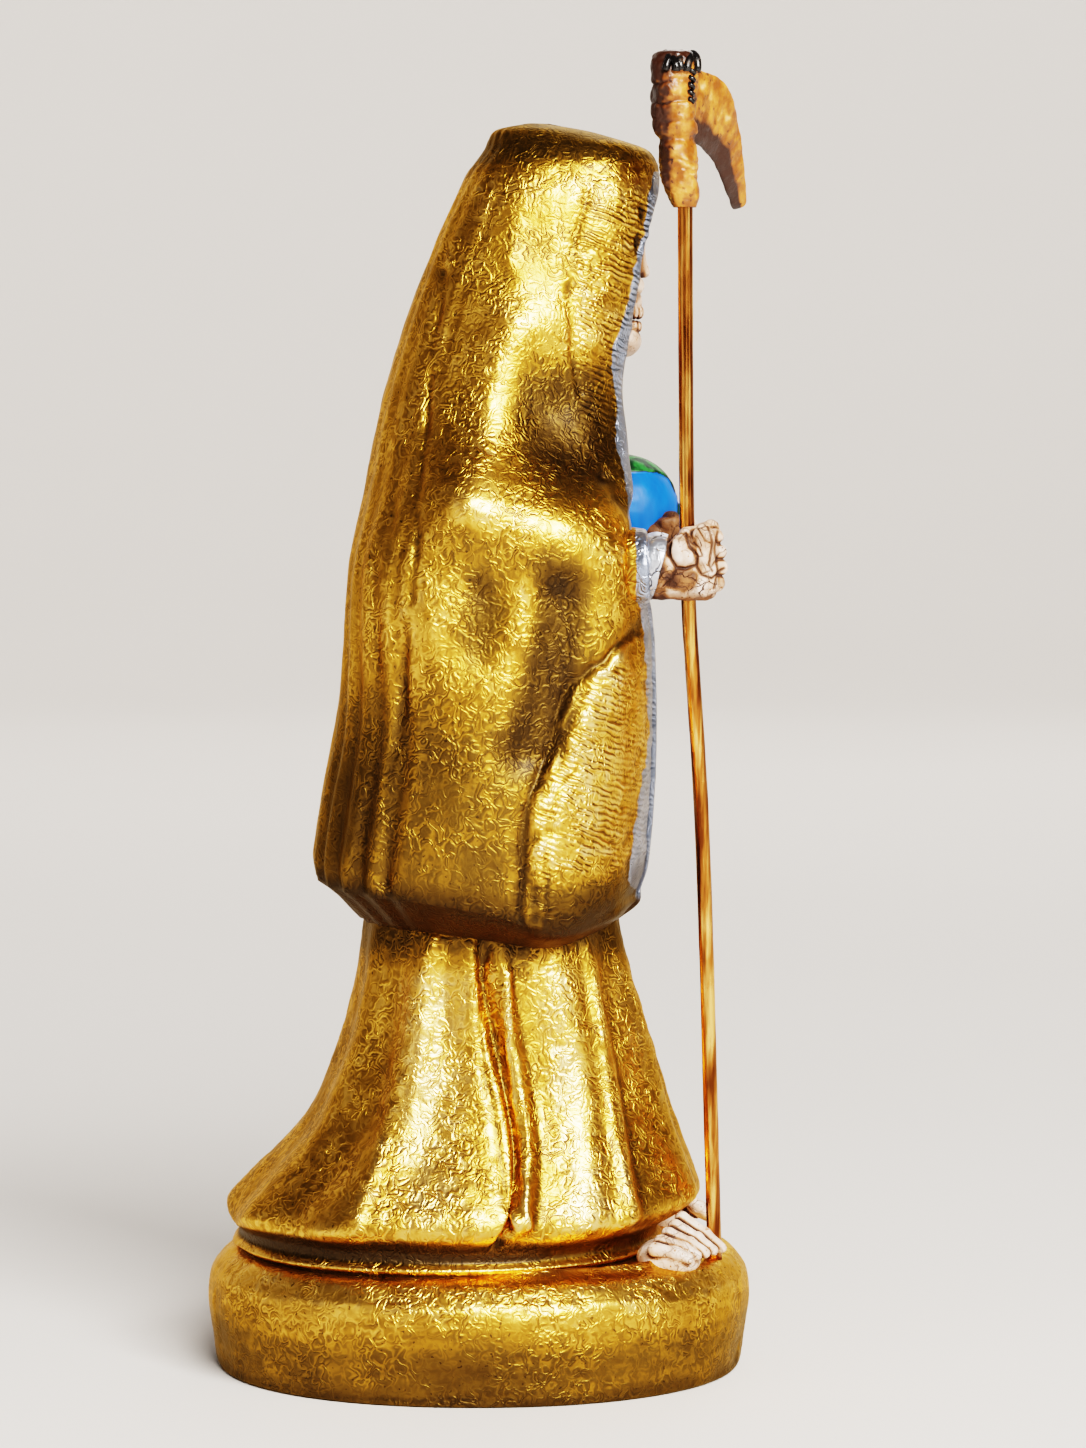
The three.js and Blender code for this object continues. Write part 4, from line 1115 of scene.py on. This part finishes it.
def foot_form(p):
    mirrored = p.copy()
    mirrored[..., 0] = np.abs(p[..., 0])
    foot = ball(mirrored, (19.5, -33.0, 0), (6.6, 5.6, 3.6))
    for i in range(5):
        x = 14.5 + 2.6 * i
        knuckle = (x, -35.4 + 1.25 * i, 6.0 - 0.9 * i)
        joint = (x * 1.01, -39.3 + 1.35 * i, 3.1 - 0.35 * i)
        tip = (x * 1.02, -42.2 + 1.5 * i, 0.9)
        toe = join(bar(mirrored, knuckle, joint, 1.25, 1.1), bar(mirrored, joint, tip, 1.2, 0.95), 0.15)
        toe = join(toe, ball(mirrored, joint, (1.35, 1.35, 1.35)), 0.3)
        foot = join(foot, toe, 0.15)
    return foot


def make_feet(paint):
    for name, left, right in (("statue_right_foot", -28.5, -11.5), ("statue_left_foot", 11.5, 28.5)):
        layers = [(0.08, 1.6, 81), (0.04, 0.8, 82)]
        foot, points, normals = skin(name, foot_form, (left, -44, -2), (right, -27, 8), 0.24, layers)
        # Painted shade between the toes
        wash = form_wash(foot_form, points, normals, 0.8)
        dress(foot, "statue", "bone_paint", paint, wash=wash, crack=0)


# Scythe

WIRE_DIAMETER = 2.6
WIRE_BOTTOM, WIRE_FOOT = 19.8, (-12.5, -41.2)
WIRE_BENDS = [(-19, -38.5, 76), (-22, -36.2, 111.5), (-22.3, -35.8, 126), (-23, -35.3, 187.5)]
HEAD_LENGTH, HEAD_DIAMETER, HEAD_SOCKET = 26.6, 7.9, 7.5
HEAD_X, HEAD_Y = WIRE_BENDS[-1][:2]
HEAD_BOTTOM = WIRE_BENDS[-1][2] - HEAD_SOCKET
CLUB_BACK = 1.9
BLADE_REACH, BLADE_THICKNESS = 25, 3.2


def wire_line(steps):
    """Points on the smooth line through the wire's foot and bends, with knots a root of their gaps apart."""
    points = [np.array((*WIRE_FOOT, WIRE_BOTTOM))]
    points += [np.array(bend) + [0, 0, PLINTH_HEIGHT] for bend in WIRE_BENDS]
    points = [2 * points[0] - points[1]] + points + [2 * points[-1] - points[-2]]
    line = []
    for p0, p1, p2, p3 in zip(points, points[1:], points[2:], points[3:]):
        gaps = [math.sqrt(np.linalg.norm(b - a)) for a, b in ((p0, p1), (p1, p2), (p2, p3))]
        start = ((p1 - p0) / gaps[0] - (p2 - p0) / (gaps[0] + gaps[1]) + (p2 - p1) / gaps[1]) * gaps[1]
        end = ((p2 - p1) / gaps[1] - (p3 - p1) / (gaps[1] + gaps[2]) + (p3 - p2) / gaps[2]) * gaps[1]
        for t in np.arange(steps) / steps:
            rise = p2 - p1
            line.append(p1 + t * (start + t * (3 * rise - 2 * start - end + t * (start + end - 2 * rise))))
    return np.array(line + [points[-2]])


def make_shaft(paint):
    line = wire_line(40)
    around = full_turn(24)[None, :, None]
    ring = np.cos(around) * [1, 0, 0] + np.sin(around) * [0, 1, 0]
    grid = line[:, None] + WIRE_DIAMETER / 2 * ring
    grid = grid + ring * (0.035 * noise(grid * [1, 1, 0.25], 1.2, 91) - 0.035)[..., None]
    shaft = grid_mesh("scythe_shaft_wire", grid, bottom=tuple(line[0]), top=tuple(line[-1]))
    dress(shaft, "scythe_shaft", "copper_wire", paint)


# The club: share of its length, share of its diameter, and share of its way back from the wire
CLUB_STATIONS = [
    [0, 0.5, 0], [0.06, 0.66, 0.15], [0.2, 0.82, 0.5], [0.38, 0.86, 0.73], [0.43, 0.74, 0.8],
    [0.48, 0.93, 0.85], [0.6, 1, 0.95], [0.8, 1, 1], [0.93, 0.94, 1], [0.975, 0.78, 1], [0.99, 0.45, 1],
]
# Share of the club's length, and depth as a share of its radius
CLUB_NOTCHES = [(0.188, 0.06), (0.233, 0.07), (0.286, 0.07), (0.541, 0.07), (0.662, 0.09), (0.786, 0.07)]
# The blade: share of its reach, how far forward its back and its edge lie, and their heights as shares of
# the head's length
BLADE_STATIONS = [
    [0, 0.5, 0.2, 0.88, 0.44], [0.16, 3.4, 2.2, 0.87, 0.41], [0.36, 7.2, 4.2, 0.8, 0.36],
    [0.56, 9.2, 6.3, 0.59, 0.26], [0.78, 10.5, 8.3, 0.3, 0.11], [0.94, 11, 9.3, 0.095, 0.028],
    [1, 10.6, 9.9, 0.057, 0.028],
]


def club_radius(along, angle):
    size = between(CLUB_STATIONS, along)[0]
    knobs = 0.05 * np.cos(3 * angle + 16 * along) * ease(0, 0.1, along)
    wavy = 0.012 * np.sin(2 * angle + 9 * along) + 0.006 * np.sin(5 * angle)
    notches = sum(-depth * bump(along + wavy, at, 0.013) for at, depth in CLUB_NOTCHES)
    notches = notches * (0.7 + 0.3 * np.sin(angle * 1.5 + 20 * along))
    return HEAD_DIAMETER / 2 * size * (0.98 + knobs + notches)


def make_club(paint):
    along = np.linspace(0, 0.99, 190)[:, None]
    back = between(CLUB_STATIONS, along)[1]
    angle = full_turn(150)
    radius = club_radius(along, angle)
    x = HEAD_X + radius * np.sin(angle)
    y = HEAD_Y - radius * np.cos(angle) + CLUB_BACK * back
    grid = np.stack([x, y, HEAD_BOTTOM + HEAD_LENGTH * along * np.ones_like(x)], -1)
    uneven = lumps(grid, (0.2, 2.4, 92), (0.12, 1.1, 93), (0.05, 0.6, 96))
    grid = grid + grid_normals(grid) * (uneven * ease(0, 0.05, along) * ease(1, 0.96, along))[..., None]
    # Painted shade on the back and front sides, at the foot and in hollows; dark at the top under the cords
    back_side = 1.1 * ease(HEAD_Y + 0.9, HEAD_Y + 3.6, grid[..., 1])
    front_side = 0.5 * ease(HEAD_Y - 0.6, HEAD_Y - 1.8, grid[..., 1])
    sides = 0.85 * back_side + front_side * ease(0.36, 0.48, along) + 0.5 * ease(0.1, 0.03, along)
    sides = sides + 1.2 * ease(0.9, 0.97, along)
    grid[..., 2] += PLINTH_HEIGHT
    bottom = (HEAD_X, HEAD_Y, PLINTH_HEIGHT + HEAD_BOTTOM)
    top = (HEAD_X, HEAD_Y + CLUB_BACK, PLINTH_HEIGHT + HEAD_BOTTOM + 0.992 * HEAD_LENGTH)
    club = grid_mesh("scythe_head_club", grid, bottom=bottom, top=top)
    dress(club, "scythe_head", "scythe_paint", paint, wash=1.2 * hollowness(grid, 6, 0.3) + sides)


def make_blade(paint):
    share = np.linspace(0, 1, 130)[:, None]
    back_forward, edge_forward, back_height, edge_height = between(BLADE_STATIONS, share)
    angle = full_turn(72)
    up = (1 - np.cos(angle)) / 2
    forward = edge_forward + (back_forward - edge_forward) * up
    round_end = np.sqrt(1 - np.clip((share - 0.9) / 0.102, 0, 1) ** 2)
    thickness = BLADE_THICKNESS * (1 - 0.45 * share) * np.sin(angle) / 2 * round_end
    x = HEAD_X + BLADE_REACH * share - 0.35 * thickness
    y = HEAD_Y - forward + thickness
    z = HEAD_BOTTOM + HEAD_LENGTH * mix(edge_height, back_height, 0.5 + (up - 0.5) * round_end)
    grid = np.stack([x, y, z], -1)[:, ::-1]
    grid = grid + grid_normals(grid) * lumps(grid, (0.14, 3, 94), (0.07, 1.2, 95))[..., None]
    grid[..., 2] += PLINTH_HEIGHT
    blade = grid_mesh("scythe_head_blade", grid, bottom=grid[0].mean(axis=0), top=grid[-1].mean(axis=0))
    # Painted shade on the blade's underside and in hollows, painted highlights on ridges
    wash = hollowness(grid, 6, 0.4) - 0.12 + 1.4 * ease(0.4, 0.1, up[::-1])
    dress(blade, "scythe_head", "scythe_paint", paint, wash=wash)


def add_cord(name, line, radius, paint):
    """A cord of rings round a line, each square to it."""
    along = np.gradient(line, axis=0)
    along = along / np.linalg.norm(along, axis=1, keepdims=True)
    side = np.cross(along, [0.31, 0.17, 0.93])
    side = side / np.linalg.norm(side, axis=1, keepdims=True)
    other = np.cross(along, side)
    turn = full_turn(12)[None, :, None]
    grid = line[:, None] + radius * (np.cos(turn) * side[:, None] + np.sin(turn) * other[:, None])
    grid = grid + 0.08 * noise(grid, 0.8, 97)[..., None]
    cord = grid_mesh(name, grid, bottom=tuple(line[0]), top=tuple(line[-1]))
    dress(cord, "scythe_head", "scythe_paint", paint)


def make_lashing(paint):
    """Black cords laid over the club's top from side to side, and a twisted one down the blade's root."""
    top = PLINTH_HEIGHT + HEAD_BOTTOM + HEAD_LENGTH
    over = np.linspace(-1.75, 1.75, 90)
    for i in range(5):
        forward = 1.3 - 1.22 * i
        reach = math.sqrt(3.9 ** 2 - forward ** 2)
        line = np.stack([
            HEAD_X + reach * np.sin(over),
            HEAD_Y + CLUB_BACK + forward + 0.35 * np.sin(2.2 * over + 1.9 * i),
            top - 3.3 - 0.2 * (i % 2) + 2.5 * np.cos(over),
        ], -1)
        add_cord(f"scythe_head_cord_{i + 1}", line, 0.7, paint)
    down = np.linspace(0, 1, 300)
    twist = 2 * math.pi * 5 * down
    seam = np.stack([
        HEAD_X - 2.4 + 0.45 * np.cos(twist),
        HEAD_Y - 1.1 + 0.4 * np.sin(twist) + 0.3 * down,
        top - 3.3 - 6 * down,
    ], -1)
    add_cord("scythe_head_cord_seam", seam, 0.4, paint)


add_camera()
add_studio()
gold = gold_paint("gold_paint")
make_plinth(gold_paint("plinth_paint", brush=(0.14, 0.14, 1)))
make_robe(gold)
hemmed_gold = gold_paint("gold_and_silver_paint", hem=True)
make_cloak(hemmed_gold)
make_sleeve_fold(hemmed_gold)
make_skull(bone_paint("bone_paint", 0.3))
cracked_bone = bone_paint("cracked_bone_paint", 1.0)
make_right_hand(cracked_bone)
make_left_hand(cracked_bone)
make_feet(bone_paint("toe_paint", 0.6))
make_sleeves(silver_paint())
make_globe(globe_paint())
make_shaft(copper_paint())
scythe = scythe_paint()
make_club(scythe)
make_blade(scythe)
make_lashing(cord_paint())
